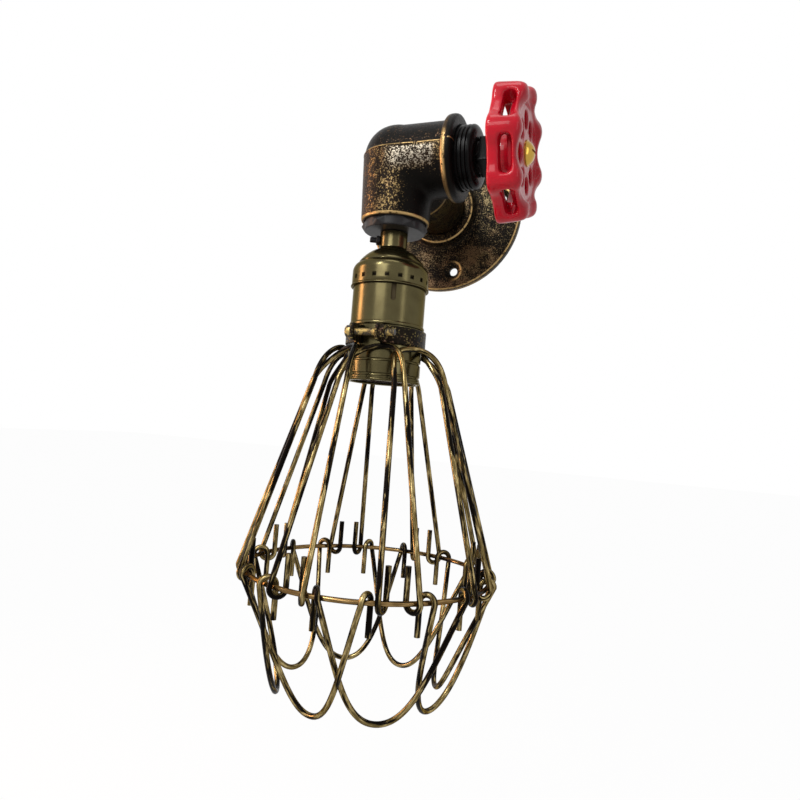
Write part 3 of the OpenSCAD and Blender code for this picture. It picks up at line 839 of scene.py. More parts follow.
def evaluated(piece: bpy.types.Object) -> bpy.types.Mesh:
    """Plain mesh that a piece's modifiers make of it."""
    graph = bpy.context.evaluated_depsgraph_get()
    return bpy.data.meshes.new_from_object(piece.evaluated_get(graph))


def cut_away(piece: bpy.types.Object, tool: bpy.types.Object) -> None:
    """Take a tool's volume off a piece and throw the tool away.

    Args:
        piece: The piece.
        tool: A closed mesh.
    """
    modifier = piece.modifiers.new("cut", "BOOLEAN")
    modifier.operation = "DIFFERENCE"
    modifier.solver = "EXACT"
    modifier.object = tool
    mesh = evaluated(piece)
    piece.modifiers.clear()
    piece.data = mesh
    mesh.name = piece.name
    bpy.data.objects.remove(tool)
    shade(mesh)


class Recipe(Graph):
    """A Geometry Nodes tree with named sizes, which makes plain meshes."""

    def __init__(self, name: str, sizes: dict[str, float]) -> None:
        """Open the tree and name its inputs.

        Args:
            name: The tree's name.
            sizes: Name and usual value of each size.
        """
        super().__init__(bpy.data.node_groups.new(name, "GeometryNodeTree"))
        self.sizes = sizes
        face = self.tree.interface
        face.new_socket("Geometry", in_out="OUTPUT", socket_type="NodeSocketGeometry")
        face.new_socket("Geometry", in_out="INPUT", socket_type="NodeSocketGeometry")
        for size in sizes:
            face.new_socket(size, in_out="INPUT", socket_type="NodeSocketFloat")
        self.entry = self.tree.nodes.new("NodeGroupInput")

    def size(self, name: str) -> Value:
        """One of the named sizes, or the geometry that comes in."""
        return Value(self, self.entry.outputs[name])

    def close(self, geometry: Value, finish: Finish) -> None:
        """End the tree.

        Args:
            geometry: What it has made.
            finish: What that is dressed in.
        """
        plain = self.node("GeometryNodeRealizeInstances", None, {0: geometry})
        dressed = self.node("GeometryNodeSetMaterial", None, {0: plain, "Material": finish.material})
        self.node("NodeGroupOutput", None, {0: dressed})

    def make(self, name: str, source: bpy.types.ID | None = None, **changes: float) -> bpy.types.Object:
        """Run the tree on a source.

        Args:
            name: Name of the piece.
            source: Mesh or curve that goes in, or nothing.
            changes: Sizes that differ from the usual.

        Returns:
            A piece with a plain mesh.
        """
        holder = bpy.data.objects.new(name + "_source", source or bpy.data.meshes.new(name))
        bpy.context.scene.collection.objects.link(holder)
        modifier = holder.modifiers.new(name, "NODES")
        modifier.node_group = self.tree
        values = self.sizes | changes
        for item in self.tree.interface.items_tree:
            if item.in_out == "INPUT" and item.name in values:
                modifier[item.identifier] = float(values[item.name])
        mesh = evaluated(holder)
        bpy.data.objects.remove(holder)
        return new_piece(name, mesh)


class Casting(Recipe):
    """A cast solid described by its distance field, in millimetres, and skinned as a mesh."""

    def __init__(self, name: str, owner: object, *names: str) -> None:
        """Open the tree at the field's own coordinates.

        Args:
            name: Name of the piece that it makes.
            owner: The sub-assembly that holds the sizes.
            names: Those of its sizes that the tree takes as named inputs, in millimetres.
        """
        super().__init__(name + "_form", {size: getattr(owner, size) for size in names})
        self.name = name
        self.named = SimpleNamespace(**{size: self.size(size) for size in names})
        metres = self.node("GeometryNodeInputPosition")
        scaled = self.node("ShaderNodeVectorMath", {"operation": "SCALE"}, {0: metres, "Scale": 1 / MM})
        self.x = self.node("ShaderNodeSeparateXYZ", None, {0: scaled})
        self.y = self.x.part("Y")
        self.z = self.x.part("Z")

    @staticmethod
    def round_about(a: Value, b: Value) -> Value:
        """Distance from the line where a and b are 0."""
        return (a * a + b * b) ** 0.5

    @staticmethod
    def between(a: Value, low: Value | float, high: Value | float) -> Value:
        """Distance outside the span from low to high."""
        return abs(a - (low + high) / 2) - (high - low) / 2

    def bar(
        self, a: Value, low: Value | float, high: Value | float, ring: Value, edge: float = 0.0
    ) -> Value:
        """Round bar along a.

        Args:
            a: Coordinate along it.
            low: Where it starts.
            high: Where it ends.
            ring: Distance from its round wall.
            edge: How far its end edges are rounded over.

        Returns:
            Its field.
        """
        return ring.most(self.between(a, low, high), edge)

    def folded(self, angle: Value, half: float) -> Value:
        """An angle folded back and forth between 0 and half, as the sides of a polygon repeat."""
        return self.node("ShaderNodeMath", {"operation": "PINGPONG"}, {0: angle, 1: half})

    def cast(
        self, field: Value, low: Point, high: Point, skin: float, finish: Finish, body: Body, node: str
    ) -> None:
        """Skin the field and dress the piece.

        Args:
            field: Distance from the surface, below 0 inside.
            low: Lowest corner of the box that is looked at, in millimetres.
            high: Its highest corner.
            skin: Pitch of the skin, in millimetres.
            finish: What the piece is dressed in.
            body: What it moves with.
            node: The node that it stands for.
        """
        box = {"Density": -field, "Background": -1.0}
        box["Min"] = tuple(v * MM for v in low)
        box["Max"] = tuple(v * MM for v in high)
        for letter, start, end in zip("XYZ", low, high):
            box["Resolution " + letter] = round((end - start) / skin)
        volume = self.node("GeometryNodeVolumeCube", None, box)
        mesh = self.node("GeometryNodeVolumeToMesh", None, {"Volume": volume, "Threshold": 0.0})
        smooth = self.node("GeometryNodeSetShadeSmooth", None, {0: mesh})
        self.close(smooth, finish)
        place_piece(self.make(self.name), finish, body, node)


# ---- Turned pieces -----------------------------------------------------------------


def arc(centre: Spot, radius: float, start: float, end: float, steps: int = 8) -> list[Spot]:
    """Points of an arc in a turned piece's section.

    Args:
        centre: Its centre, as (radius, height).
        radius: Its radius.
        start: Angle of its first point in degrees, 0 outwards and 90 up.
        end: Angle of its last point.
        steps: Number of chords.

    Returns:
        Its points.
    """
    angles = [math.radians(start + (end - start) * i / steps) for i in range(steps + 1)]
    return [(centre[0] + radius * math.cos(a), centre[1] + radius * math.sin(a)) for a in angles]


@dataclass(frozen=True)
class Lathe:
    """Turns a section about an axis of the object."""

    axis: Axis = Axis.UP
    sides: int = 96
    crease: float = 35.0

    def frame_matrix(self) -> Matrix:
        """Transform from the section's own space, in millimetres, to the row frame, in metres."""
        turn = Vector(Axis.UP.value).rotation_difference(Vector(self.axis.value)).to_matrix().to_4x4()
        return Matrix.Translation((0, -REACH * MM, 0)) @ turn @ Matrix.Scale(MM, 4)

    def turn(self, name: str, section: Iterable[Spot], closed: bool = True) -> bpy.types.Object:
        """Turn a section.

        Args:
            name: Name of the piece.
            section: Points as (radius, height), round the section.
            closed: Whether the section is a loop, such as that of a tube.

        Returns:
            The piece.
        """
        mesh = bpy.data.meshes.new(name)
        angles = [math.tau * i / self.sides for i in range(self.sides)]
        with editing(mesh) as form:
            rings = []
            for radius, height in section:
                turns = angles if radius > MERGED else angles[:1]
                points = [(radius * math.cos(a), radius * math.sin(a), height) for a in turns]
                rings.append([form.verts.new(point) for point in points])
            for lower, upper in zip(rings, rings[1:] + rings[:1] * closed):
                self._join(form, lower, upper)
            bmesh.ops.remove_doubles(form, verts=form.verts, dist=MERGED)
        mesh.transform(self.frame_matrix())
        shade(mesh, self.crease)
        return new_piece(name, mesh)

    def _join(self, form: bmesh.types.BMesh, lower: list, upper: list) -> None:
        """Wall between two rings.

        Args:
            form: The mesh that it is added to.
            lower: Points of the first ring, or its one point on the axis.
            upper: Points of the second.
        """
        for i in range(self.sides):
            j = (i + 1) % self.sides
            corners = [lower[i % len(lower)], lower[j % len(lower)]]
            corners += [upper[j % len(upper)], upper[i % len(upper)]]
            unique = list(dict.fromkeys(corners))
            if len(unique) > 2:
                form.faces.new(unique)


# ---- Wall side ---------------------------------------------------------------------


@dataclass(frozen=True)
class WallSide:
    """Round flange on the wall and the pipe that carries the elbow."""

    flange_r: float = 52.0
    flange_t: float = 6.0
    rim_edge: float = 3.0
    back_edge: float = 1.0
    hub_r: float = 22.7
    hub_h: float = 15.6
    hub_edge: float = 4.0
    hub_fillet: float = 6.0
    bore_r: float = 16.75
    bore_edge: float = 1.5
    holes: int = 4
    circle_r: float = 40.0
    first_hole: float = -77.0
    hole_r: float = 2.75
    sink_edge: float = 0.8
    skin: float = 0.5

    def build(self, cad: "Cad") -> None:
        """Make the flange and dress the pipe."""
        self.flange()
        cad.dress(PIPE_CASTING, "pipe_nipple")

    def flange(self) -> None:
        """Cast flange with a filleted hub and four countersunk holes."""
        names = ("flange_r", "flange_t", "hub_r", "hub_h", "bore_r", "circle_r", "hole_r")
        form = Casting("flange", self, *names)
        size, out = form.named, -form.y
        ring = form.round_about(form.x, form.z)
        plate = (ring - size.flange_r).most(out - size.flange_t, self.rim_edge)
        hub = (ring - size.hub_r).most(out - size.hub_h, self.hub_edge)
        body = plate.least(hub, self.hub_fillet).most(size.bore_r - ring, self.bore_edge)
        countersink = (out - size.flange_t + 2 * size.hole_r).most(size.hole_r)
        for number in range(self.holes):
            angle = math.radians(self.first_hole + 360 / self.holes * number)
            across = form.x - size.circle_r * math.cos(angle)
            along = form.z - size.circle_r * math.sin(angle)
            body = body.most(countersink - form.round_about(across, along), self.sink_edge)
        body = body.most(-out, self.back_edge)
        span = self.flange_r + 1
        low, high = (-span, -self.hub_h - 1, -span), (span, 1, span)
        form.cast(body, low, high, self.skin, FLANGE_CASTING, Body.FITTING, "wall_flange")


# ---- Elbow -------------------------------------------------------------------------


@dataclass(frozen=True)
class SideOutletElbow:
    """Malleable elbow with a drop leg, a leg to the wall and a beaded side outlet."""

    body_r: float = 20.1
    leg_r: float = 18.8
    bore_r: float = 13.5
    port_r: float = 16.75
    port_l: float = 15.0
    drop: float = 34.4
    back: float = 36.0
    side: float = 36.0
    bead_r: float = 22.7
    bead_w: float = 6.0
    bead_edge: float = 3.6
    bead_fillet: float = 0.8
    side_fillet: float = 5.0
    back_fillet: float = 3.0
    rim_edge: float = 2.0
    port_edge: float = 1.2
    shoulder_power: float = 2.2
    seam_z: float = 2.0
    seam_step: float = 0.35
    ridge_h: float = 0.35
    skin: float = 0.55

    def build(self) -> None:
        """Make the elbow's casting."""
        names = ("body_r", "leg_r", "bore_r", "port_r", "port_l", "drop", "back", "side")
        form = Casting("elbow", self, *names, "bead_r", "bead_w", "seam_z", "seam_step")
        size = form.named
        x, y, z = form.x, form.y + REACH, form.z
        upright, level, crosswise = form.round_about(x, y), form.round_about(x, z), form.round_about(y, z)
        drop = self.leg(size, upright, -z, size.drop)
        back = self.leg(size, level, y, size.back)
        side = (crosswise - size.body_r).most(-x).most(x - size.side, self.rim_edge)
        power = self.shoulder_power
        ball = (upright**power + abs(z) ** power) ** (1 / power) - size.body_r
        body = drop.least(side, self.side_fillet).least(back, self.back_fillet).least(ball)
        ridge = (abs(z - size.seam_z) * -1.1 + 1.0).most(0.0) * self.ridge_h
        body = body - ridge + z.rise(size.seam_z, size.seam_z + 0.8) * size.seam_step
        bead = form.bar(x, size.side - size.bead_w, size.side, crosswise - size.bead_r, self.bead_edge)
        body = body.least(bead, self.bead_fillet)
        body = body.most(-self.bores(form, x, y, z), self.port_edge)
        low = (-self.body_r - 2, -REACH - self.bead_r - 1, -self.drop - 1)
        high = (self.side + 1, self.back - REACH + 1, self.bead_r + 1)
        form.cast(body, low, high, self.skin, ELBOW_CASTING, Body.FITTING, "side_outlet_elbow")

    def leg(self, size: SimpleNamespace, ring: Value, along: Value, end: Value) -> Value:
        """Field of a leg that tapers from the body to its rim.

        Args:
            size: The casting's named sizes.
            ring: Distance from its axis.
            along: Distance from the elbow's middle.
            end: Where its rim is.

        Returns:
            Its field.
        """
        taper = (size.body_r - size.leg_r) / end
        return (ring + along * taper - size.body_r).most(-along).most(along - end, self.rim_edge)

    def bores(self, form: Casting, x: Value, y: Value, z: Value) -> Value:
        """Field of the three bores and their threaded ports.

        Args:
            form: The elbow's casting.
            x: Coordinate along the side leg.
            y: Coordinate along the leg to the wall.
            z: Coordinate up.

        Returns:
            The field, below 0 inside a bore.
        """
        size = form.named
        holes = form.round_about(form.round_about(x, y), z) - size.bore_r
        legs = ((x, y, -z, size.drop), (x, z, y, size.back), (y, z, x, size.side))
        for a, b, along, end in legs:
            ring = form.round_about(a, b)
            bore = (ring - size.bore_r).most(-along)
            port = (ring - size.port_r).most(end - size.port_l - along)
            holes = holes.least(bore).least(port)
        return holes


# ---- Lampholder --------------------------------------------------------------------


@dataclass(frozen=True)
class HexPart:
    """Small hexagonal part with chamfered corners, such as a nut or a bushing's head."""

    flats: Value | float
    height: Value | float
    chamfer: float = 0.6
    slope: float = 0.5

    def field(self, form: Casting, a: Value, b: Value, along: Value, turn: float = 0.0) -> Value:
        """Field of the hexagon.

        Args:
            form: The casting that it belongs to.
            a: First coordinate across it.
            b: Second coordinate across it.
            along: Coordinate along it, 0 at its lower face.
            turn: Angle of a flat, in degrees.

        Returns:
            Its field, without a bore.
        """
        ring = form.round_about(a, b)
        fold = form.folded(b.heading(a) - math.radians(turn), HEX_HALF)
        side = ring * fold.cosine() - self.flats / 2
        beyond = abs(along - self.height / 2) - self.height / 2
        face_r = self.flats / 2 / math.cos(HEX_HALF) - self.chamfer
        corner = ring - face_r + beyond * self.slope
        return side.most(beyond, 0.3).most(corner * 0.9, 0.2)


@dataclass(frozen=True)
class Lampholder:
    """Bushing, cap, shell and insert of the lampholder that hangs under the elbow."""

    bushing_z: float = -39.4
    bushing_head: float = 5.0
    bushing_l: float = 20.0
    bushing_flats: float = 32.0
    bushing_chamfer: float = 2.0
    bushing_slope: float = 0.8
    bushing_turn: float = -70.0
    bushing_skin: float = 0.42
    thread_r: float = 16.7
    tube_r: float = 5.05
    neck_z: float = -49.0
    neck_r: float = 7.6
    neck_h: float = 9.6
    neck_edge: float = 0.5
    neck_fillet: float = 1.4
    crease: Spot = (18.0, -57.2)
    shoulder_r: float = 5.6
    skirt_z: float = -62.8
    lip_z: float = -71.4
    lip_r: float = 0.45
    cap_r: float = 21.0
    sheet: float = 0.9
    dimples: int = 19
    dimple: float = 2.2
    dimple_in: float = 0.6
    dimple_edge: float = 0.14
    dimple_z: float = -67.0
    dimple_cells: int = 9
    shell_r: float = 20.0
    shell_top: float = -69.0
    mouth_z: float = -122.6
    mouth_roll: float = 0.8
    mouth_curl: float = 0.6
    notch_turn: float = 29.0
    notch_w: float = 2.6
    notch_h: float = 8.8
    grooves: Spot = (11.1, 3.4)
    groove_r: float = 0.78
    band_top: float = -93.8
    bulge_r: float = 1.4
    screw_turn: float = -152.0
    screw_r: float = 1.5
    screw_from: float = 5.1
    screw_to: float = 13.1
    screw_slot: Spot = (0.7, 0.8)
    screw_nut: Spot = (4.7, 2.0)
    screw_box: Spot = (9.0, 5.5)
    screw_skin: float = 0.13

    def build(self, cad: "Cad") -> None:
        """Make the outer pieces and dress the inner ones.

        Args:
            cad: The construction's own solids.
        """
        self.bushing()
        self.cap()
        self.set_screw()
        self.shell()
        cad.dress(BRIGHT_STEEL, "lamp_tube")
        cad.dress(LINER, "shell_liner")
        cad.dress(PHENOLIC, "lamp_insert")
        cad.dress(BRIGHT_BRASS, "screw_shell", "centre_contact", "terminal_screws")
        cad.dress(RED_LEAD, "lead_live")
        cad.dress(WHITE_LEAD, "lead_neutral")

    def bushing(self) -> None:
        """Hexagonal reducing bushing under the drop leg."""
        names = ("bushing_flats", "bushing_head", "bushing_l", "thread_r", "tube_r")
        form = Casting("bushing", self, *names)
        size = form.named
        x, y, z = form.x, form.y + REACH, form.z - self.bushing_z
        hexagon = HexPart(size.bushing_flats, size.bushing_head, self.bushing_chamfer, self.bushing_slope)
        head = hexagon.field(form, x, y, z, self.bushing_turn)
        ring = form.round_about(x, y)
        thread = form.bar(z, 0.0, size.bushing_l, ring - size.thread_r, 1.0)
        body = head.least(thread).most(size.tube_r - ring, 0.8)
        span = self.bushing_flats / 2 / math.cos(HEX_HALF) + 1
        low = (-span, -REACH - span, self.bushing_z - 1)
        high = (span, span - REACH, self.bushing_z + self.bushing_l + 1)
        form.cast(body, low, high, self.bushing_skin, DARK_STEEL, Body.FITTING, "hex_bushing")

    def cap(self) -> None:
        """Spun cap with its neck, dome, creased shoulder, dimpled skirt and flared lip."""
        t, r = self.sheet, self.cap_r
        top = self.neck_z + self.neck_h
        crease_r, crease_z = self.crease
        rise = self.neck_z - crease_z
        drop = (crease_r**2 + rise**2 - self.neck_r**2) / (2 * rise)
        ball, middle = math.hypot(self.neck_r, drop), (0.0, self.neck_z - drop)
        steep = math.degrees(math.acos(crease_r / ball))
        corner = (r - self.shoulder_r, self.skirt_z)
        root, edge = self.neck_fillet, self.neck_edge
        section = [(self.tube_r, top), (self.neck_r - edge, top), (self.neck_r, top - edge)]
        section += arc((self.neck_r + root, self.neck_z + 1.1), root, 180, 250, 5)
        section += arc(middle, ball, 66, steep + 1.2, 12) + [(crease_r - 0.1, crease_z - 0.1)]
        section += [(crease_r - 0.2, crease_z - 0.45)] + arc(corner, self.shoulder_r, 65, 0, 8)
        section += [(r, self.dimple_z + side * self.dimple / 2) for side in (1, -1)]
        section += [(r, self.lip_z + 1.9), (r - 0.15, self.lip_z + 1.5), (r + 0.2, self.lip_z + 1.15)]
        section += arc((r + 0.05, self.lip_z + 0.6), self.lip_r, 50, -100, 6) + [(r - 0.15, self.lip_z)]
        section += [(r - t, self.lip_z)] + arc(corner, self.shoulder_r - t, 0, 62, 6)
        section += arc(middle, ball - t, steep, 76, 8) + [(self.tube_r, self.neck_z - t)]
        piece = Lathe(sides=self.dimples * self.dimple_cells).turn("cap", section)
        self.press_dimples(piece.data)
        place_piece(piece, CAP_BRASS, Body.FITTING, "socket_cap")

    def press_dimples(self, mesh: bpy.types.Mesh) -> None:
        """Sink square dimples into the band of faces under the shoulder.

        Args:
            mesh: The cap's mesh.
        """
        pitch = 360 / self.dimples / self.dimple_cells
        edge = self.dimple_edge * MM
        row: dict[int, bmesh.types.BMFace] = {}
        with editing(mesh) as form:
            for face in form.faces:
                centre = face.calc_center_median() / MM + Vector((0, REACH, 0))
                if abs(centre.z - self.dimple_z) < 0.3 and centre.xy.length > self.cap_r - 0.3:
                    row[int(math.degrees(math.atan2(centre.y, centre.x)) % 360 // pitch)] = face
            for number in range(self.dimples):
                first = number * self.dimple_cells
                cells = [row[first + step] for step in range(3)]
                bmesh.ops.inset_region(form, faces=cells, thickness=edge, use_even_offset=True)
                angle = math.radians((first + 1.5) * pitch)
                inward = Vector((-math.cos(angle), -math.sin(angle), 0)) * self.dimple_in * MM
                corners = list({corner for face in cells for corner in face.verts})
                bmesh.ops.translate(form, verts=corners, vec=inward)
        shade(mesh, 32)

    def set_screw(self) -> None:
        """Slotted set screw with its lock nut in the cap's neck."""
        form = Casting("set_screw", self, "screw_r", "screw_from", "screw_to", "neck_r")
        size = form.named
        angle, height = math.radians(self.screw_turn), self.neck_z + self.neck_h / 2
        y, up = form.y + REACH, form.z - height
        along = form.x * math.cos(angle) + y * math.sin(angle)
        across = y * math.cos(angle) - form.x * math.sin(angle)
        ring = form.round_about(across, up)
        shank = form.bar(along, size.screw_from, size.screw_to, ring - size.screw_r, 0.6)
        width, depth = self.screw_slot
        slot = (abs(across) - width / 2).most(size.screw_to - depth - along)
        nut = HexPart(*self.screw_nut, 0.3).field(form, across, up, along - size.neck_r)
        body = shank.most(-slot, 0.2).least(nut, 0.3)
        middle, half = self.screw_box
        centre = (math.cos(angle) * middle, math.sin(angle) * middle - REACH, height)
        low, high = (tuple(c + side * half for c in centre) for side in (-1, 1))
        form.cast(body, low, high, self.screw_skin, DARK_STEEL, Body.FITTING, "neck_set_screw")

    def shell(self) -> None:
        """Spun shell with a bead over the band, two grooves, a rolled mouth and two notches."""
        r, t = self.shell_r, self.sheet
        section = [(r - t, self.shell_top), (r, self.shell_top)]
        section += arc((r - 0.8, self.band_top + 1.7), self.bulge_r, 55, -55, 8)
        for height in self.grooves:
            section += arc((r + 0.15, self.mouth_z + height), self.groove_r, 100, 260, 8)
        section += [(r, self.mouth_z + 2.0)]
        roll, curl = self.mouth_roll, self.mouth_curl
        section += arc((r - 0.35, self.mouth_z + roll), roll, 62, -90, 7)
        section += arc((r - t - 2 * curl, self.mouth_z + curl), curl, 270, 90, 5)
        section += [(r - t, self.mouth_z + 1.6)]
        piece = Lathe(sides=128).turn("shell", section)
        for half in (0, 180):
            self.notch(piece, self.notch_turn - 90 + half)
        place_piece(piece, BRASS, Body.FITTING, "socket_shell")

    def notch(self, piece: bpy.types.Object, turn: float) -> None:
        """Cut one round-ended notch through the shell.

        Args:
            piece: The shell.
            turn: Where it sits, in degrees about the lamp's axis.
        """
        half = self.notch_w / 2
        low = self.shell_top + self.sheet
        outline = arc((0.0, self.lip_z - self.notch_h + half), half, 180, 360, 12)
        outline += [(half, low), (-half, low)]
        mesh = bpy.data.meshes.new("notch_tool")
        with editing(mesh) as form:
            form.faces.new([form.verts.new((self.shell_r - 3, u, v)) for u, v in outline])
            made = bmesh.ops.extrude_face_region(form, geom=list(form.faces))["geom"]
            far = [part for part in made if isinstance(part, bmesh.types.BMVert)]
            bmesh.ops.translate(form, verts=far, vec=(6, 0, 0))
            bmesh.ops.recalc_face_normals(form, faces=form.faces)
        hang(mesh, turn)
        cut_away(piece, new_piece("notch_tool", mesh))


# ---- Clamp -------------------------------------------------------------------------


@dataclass(frozen=True)
class Clamp:
    """Band round the shell, drawn together by a screw through its two ears."""

    shell_r: float = 20.1
    thickness: float = 1.8
    low: float = -103.2
    height: float = 9.4
    edge: float = 0.9
    ear_x: float = 6.0
    ear_l: float = 8.0
    ear_round: float = 5.0
    ear_bend: float = 1.4
    band_skin: float = 0.28
    screw_r: float = 2.0
    play: float = 0.1
    head_r: float = 3.3
    head_h: float = 3.6
    slot: Spot = (1.0, 1.3)
    tail: float = 8.0
    thread_pitch: float = 0.9
    thread_depth: float = 0.35
    screw_skin: float = 0.14
    nut_h: float = 3.0
    nut_flats: float = 7.0
    nut_skin: float = 0.16

    @property
    def screw_y(self) -> float:
        """Distance of the screw in front of the lamp's axis."""
        return -(self.shell_r + self.thickness + self.ear_l / 2)

    @property
    def screw_z(self) -> float:
        """Height of the screw."""
        return self.low + self.height / 2

    def build(self) -> None:
        """Make the band, its screw and its nut."""
        self.band()
        self.screw()
        self.nut()

    def band(self) -> None:
        """Bent strip with two rounded ears."""
        form = Casting("band", self, "shell_r", "thickness", "height", "ear_x", "ear_l", "screw_r")
        size = form.named
        x, y, z = form.x, form.y + REACH, form.z - self.screw_z
        half = size.thickness / 2
        level = abs(z) - size.height / 2
        ring = form.round_about(x, y)
        strip = (abs(ring - size.shell_r - half) - half).most(level, self.edge)
        strip = strip.most((size.ear_x - abs(x)).least(-y))
        ear = (abs(abs(x) - size.ear_x - half) - half).most(level, self.edge)
        reach = size.shell_r + size.thickness + size.ear_l
        end = (-reach - y).most(level, self.ear_round)
        ear = ear.most(end, self.edge).most(y + size.shell_r - 1.2)
        hole = form.round_about(y - self.screw_y, z) - size.screw_r - self.play
        body = strip.least(ear, self.ear_bend).most(-hole.most(y), 0.4).most(size.shell_r - ring)
        front = self.shell_r + self.thickness + self.ear_l
        low = (-self.shell_r - 3, -REACH - front - 1, self.low - 1)
        high = (self.shell_r + 3, -REACH + self.shell_r + 3, self.low + self.height + 1)
        form.cast(body, low, high, self.band_skin, BAND_BRASS, Body.FITTING, "clamp_band")

    def screw(self) -> None:
        """Slotted screw with a real thread through both ears."""
        names = ("ear_x", "thickness", "tail", "screw_r", "head_r", "head_h")
        form = Casting("clamp_screw_part", self, *names, "thread_pitch", "thread_depth")
        size = form.named
        x, across, up = form.x, form.y + REACH - self.screw_y, form.z - self.screw_z
        ring = form.round_about(across, up)
        wave = form.folded(x / size.thread_pitch - up.heading(across) / math.tau, 0.5)
        end = size.ear_x + size.thickness + size.tail
        shank = (ring - size.screw_r + wave * 2 * size.thread_depth).most(x - end, 0.7)
        seat = -size.ear_x - size.thickness
        shank = shank.most(seat - x)
        head = form.bar(x, seat - size.head_h, seat, ring - size.head_r, 1.6)
        width, depth = self.slot
        slot = (abs(across * 0.8 + up * 0.6) - width / 2).most(x - seat + size.head_h - depth)
        body = head.most(-slot, 0.3).least(shank)
        back = -self.ear_x - self.thickness - self.head_h - 1
        front = self.ear_x + self.thickness + self.tail + 1
        low = (back, -REACH + self.screw_y - 4, self.screw_z - 4)
        high = (front, -REACH + self.screw_y + 4, self.screw_z + 4)
        form.cast(body, low, high, self.screw_skin, SCREW_GOLD, Body.FITTING, "clamp_screw")

    def nut(self) -> None:
        """Hexagonal nut on the far ear."""
        form = Casting("clamp_nut_part", self, "nut_flats", "nut_h", "screw_r")
        size = form.named
        seat = self.ear_x + self.thickness
        across, up = form.y + REACH - self.screw_y, form.z - self.screw_z
        nut = HexPart(size.nut_flats, size.nut_h, 0.4).field(form, across, up, form.x - seat, 12)
        body = nut.most(size.screw_r + self.play / 2 - form.round_about(across, up), 0.5)
        low = (seat - 1, -REACH + self.screw_y - 5, self.screw_z - 5)
        high = (seat + self.nut_h + 1, -REACH + self.screw_y + 5, self.screw_z + 5)
        form.cast(body, low, high, self.nut_skin, BAND_BRASS, Body.FITTING, "clamp_nut")


# ---- Cage --------------------------------------------------------------------------


class WireRecipe(Recipe):
    """Round wire along a path, which knows its own length and turn at every point."""

    def __init__(self, finish: Finish) -> None:
        """Build the tree.

        Args:
            finish: What the wire is dressed in.
        """
        super().__init__("wire_" + finish.name, {"Radius": 1.5 * MM, "Seed": 0.0, "Chamfer": 0.5 * MM})
        path = self.node("GeometryNodeMeshToCurve", None, {0: self.size("Geometry")})
        travelled = self.node("GeometryNodeSplineParameter", None, None, "Length")
        total = self.node("GeometryNodeSplineLength", None, None, "Length")
        path = self.keep(path, "along", travelled, "FLOAT")
        path = self.keep(path, "seed", self.size("Seed"), "FLOAT")
        to_end = travelled.least(total - travelled)
        slope = (to_end / self.size("Chamfer")).least(1.0)
        path = self.node("GeometryNodeSetCurveRadius", None, {"Curve": path, "Radius": slope * 0.3 + 0.7})
        round_section = {"Resolution": 14, "Radius": self.size("Radius")}
        ring = self.node("GeometryNodeCurvePrimitiveCircle", None, round_section)
        spot = self.node("GeometryNodeInputPosition")
        turn = self.node("ShaderNodeVectorMath", {"operation": "NORMALIZE"}, {0: spot})
        ring = self.keep(ring, "turn", turn, "FLOAT_VECTOR")
        skin = self.node("GeometryNodeCurveToMesh", None, {0: path, 1: ring, "Fill Caps": True})
        smooth = self.node("GeometryNodeSetShadeSmooth", None, {0: skin})
        self.close(smooth, finish)

    def keep(self, geometry: Value, name: str, value: Value, kind: str) -> Value:
        """Store a value on the points of a geometry.

        Args:
            geometry: The geometry.
            name: The attribute's name.
            value: What is stored.
            kind: Its data type.

        Returns:
            The geometry with it.
        """
        settings = {"data_type": kind, "domain": "POINT"}
        inputs = {0: geometry, "Name": name, "Value": value}
        return self.node("GeometryNodeStoreNamedAttribute", settings, inputs)


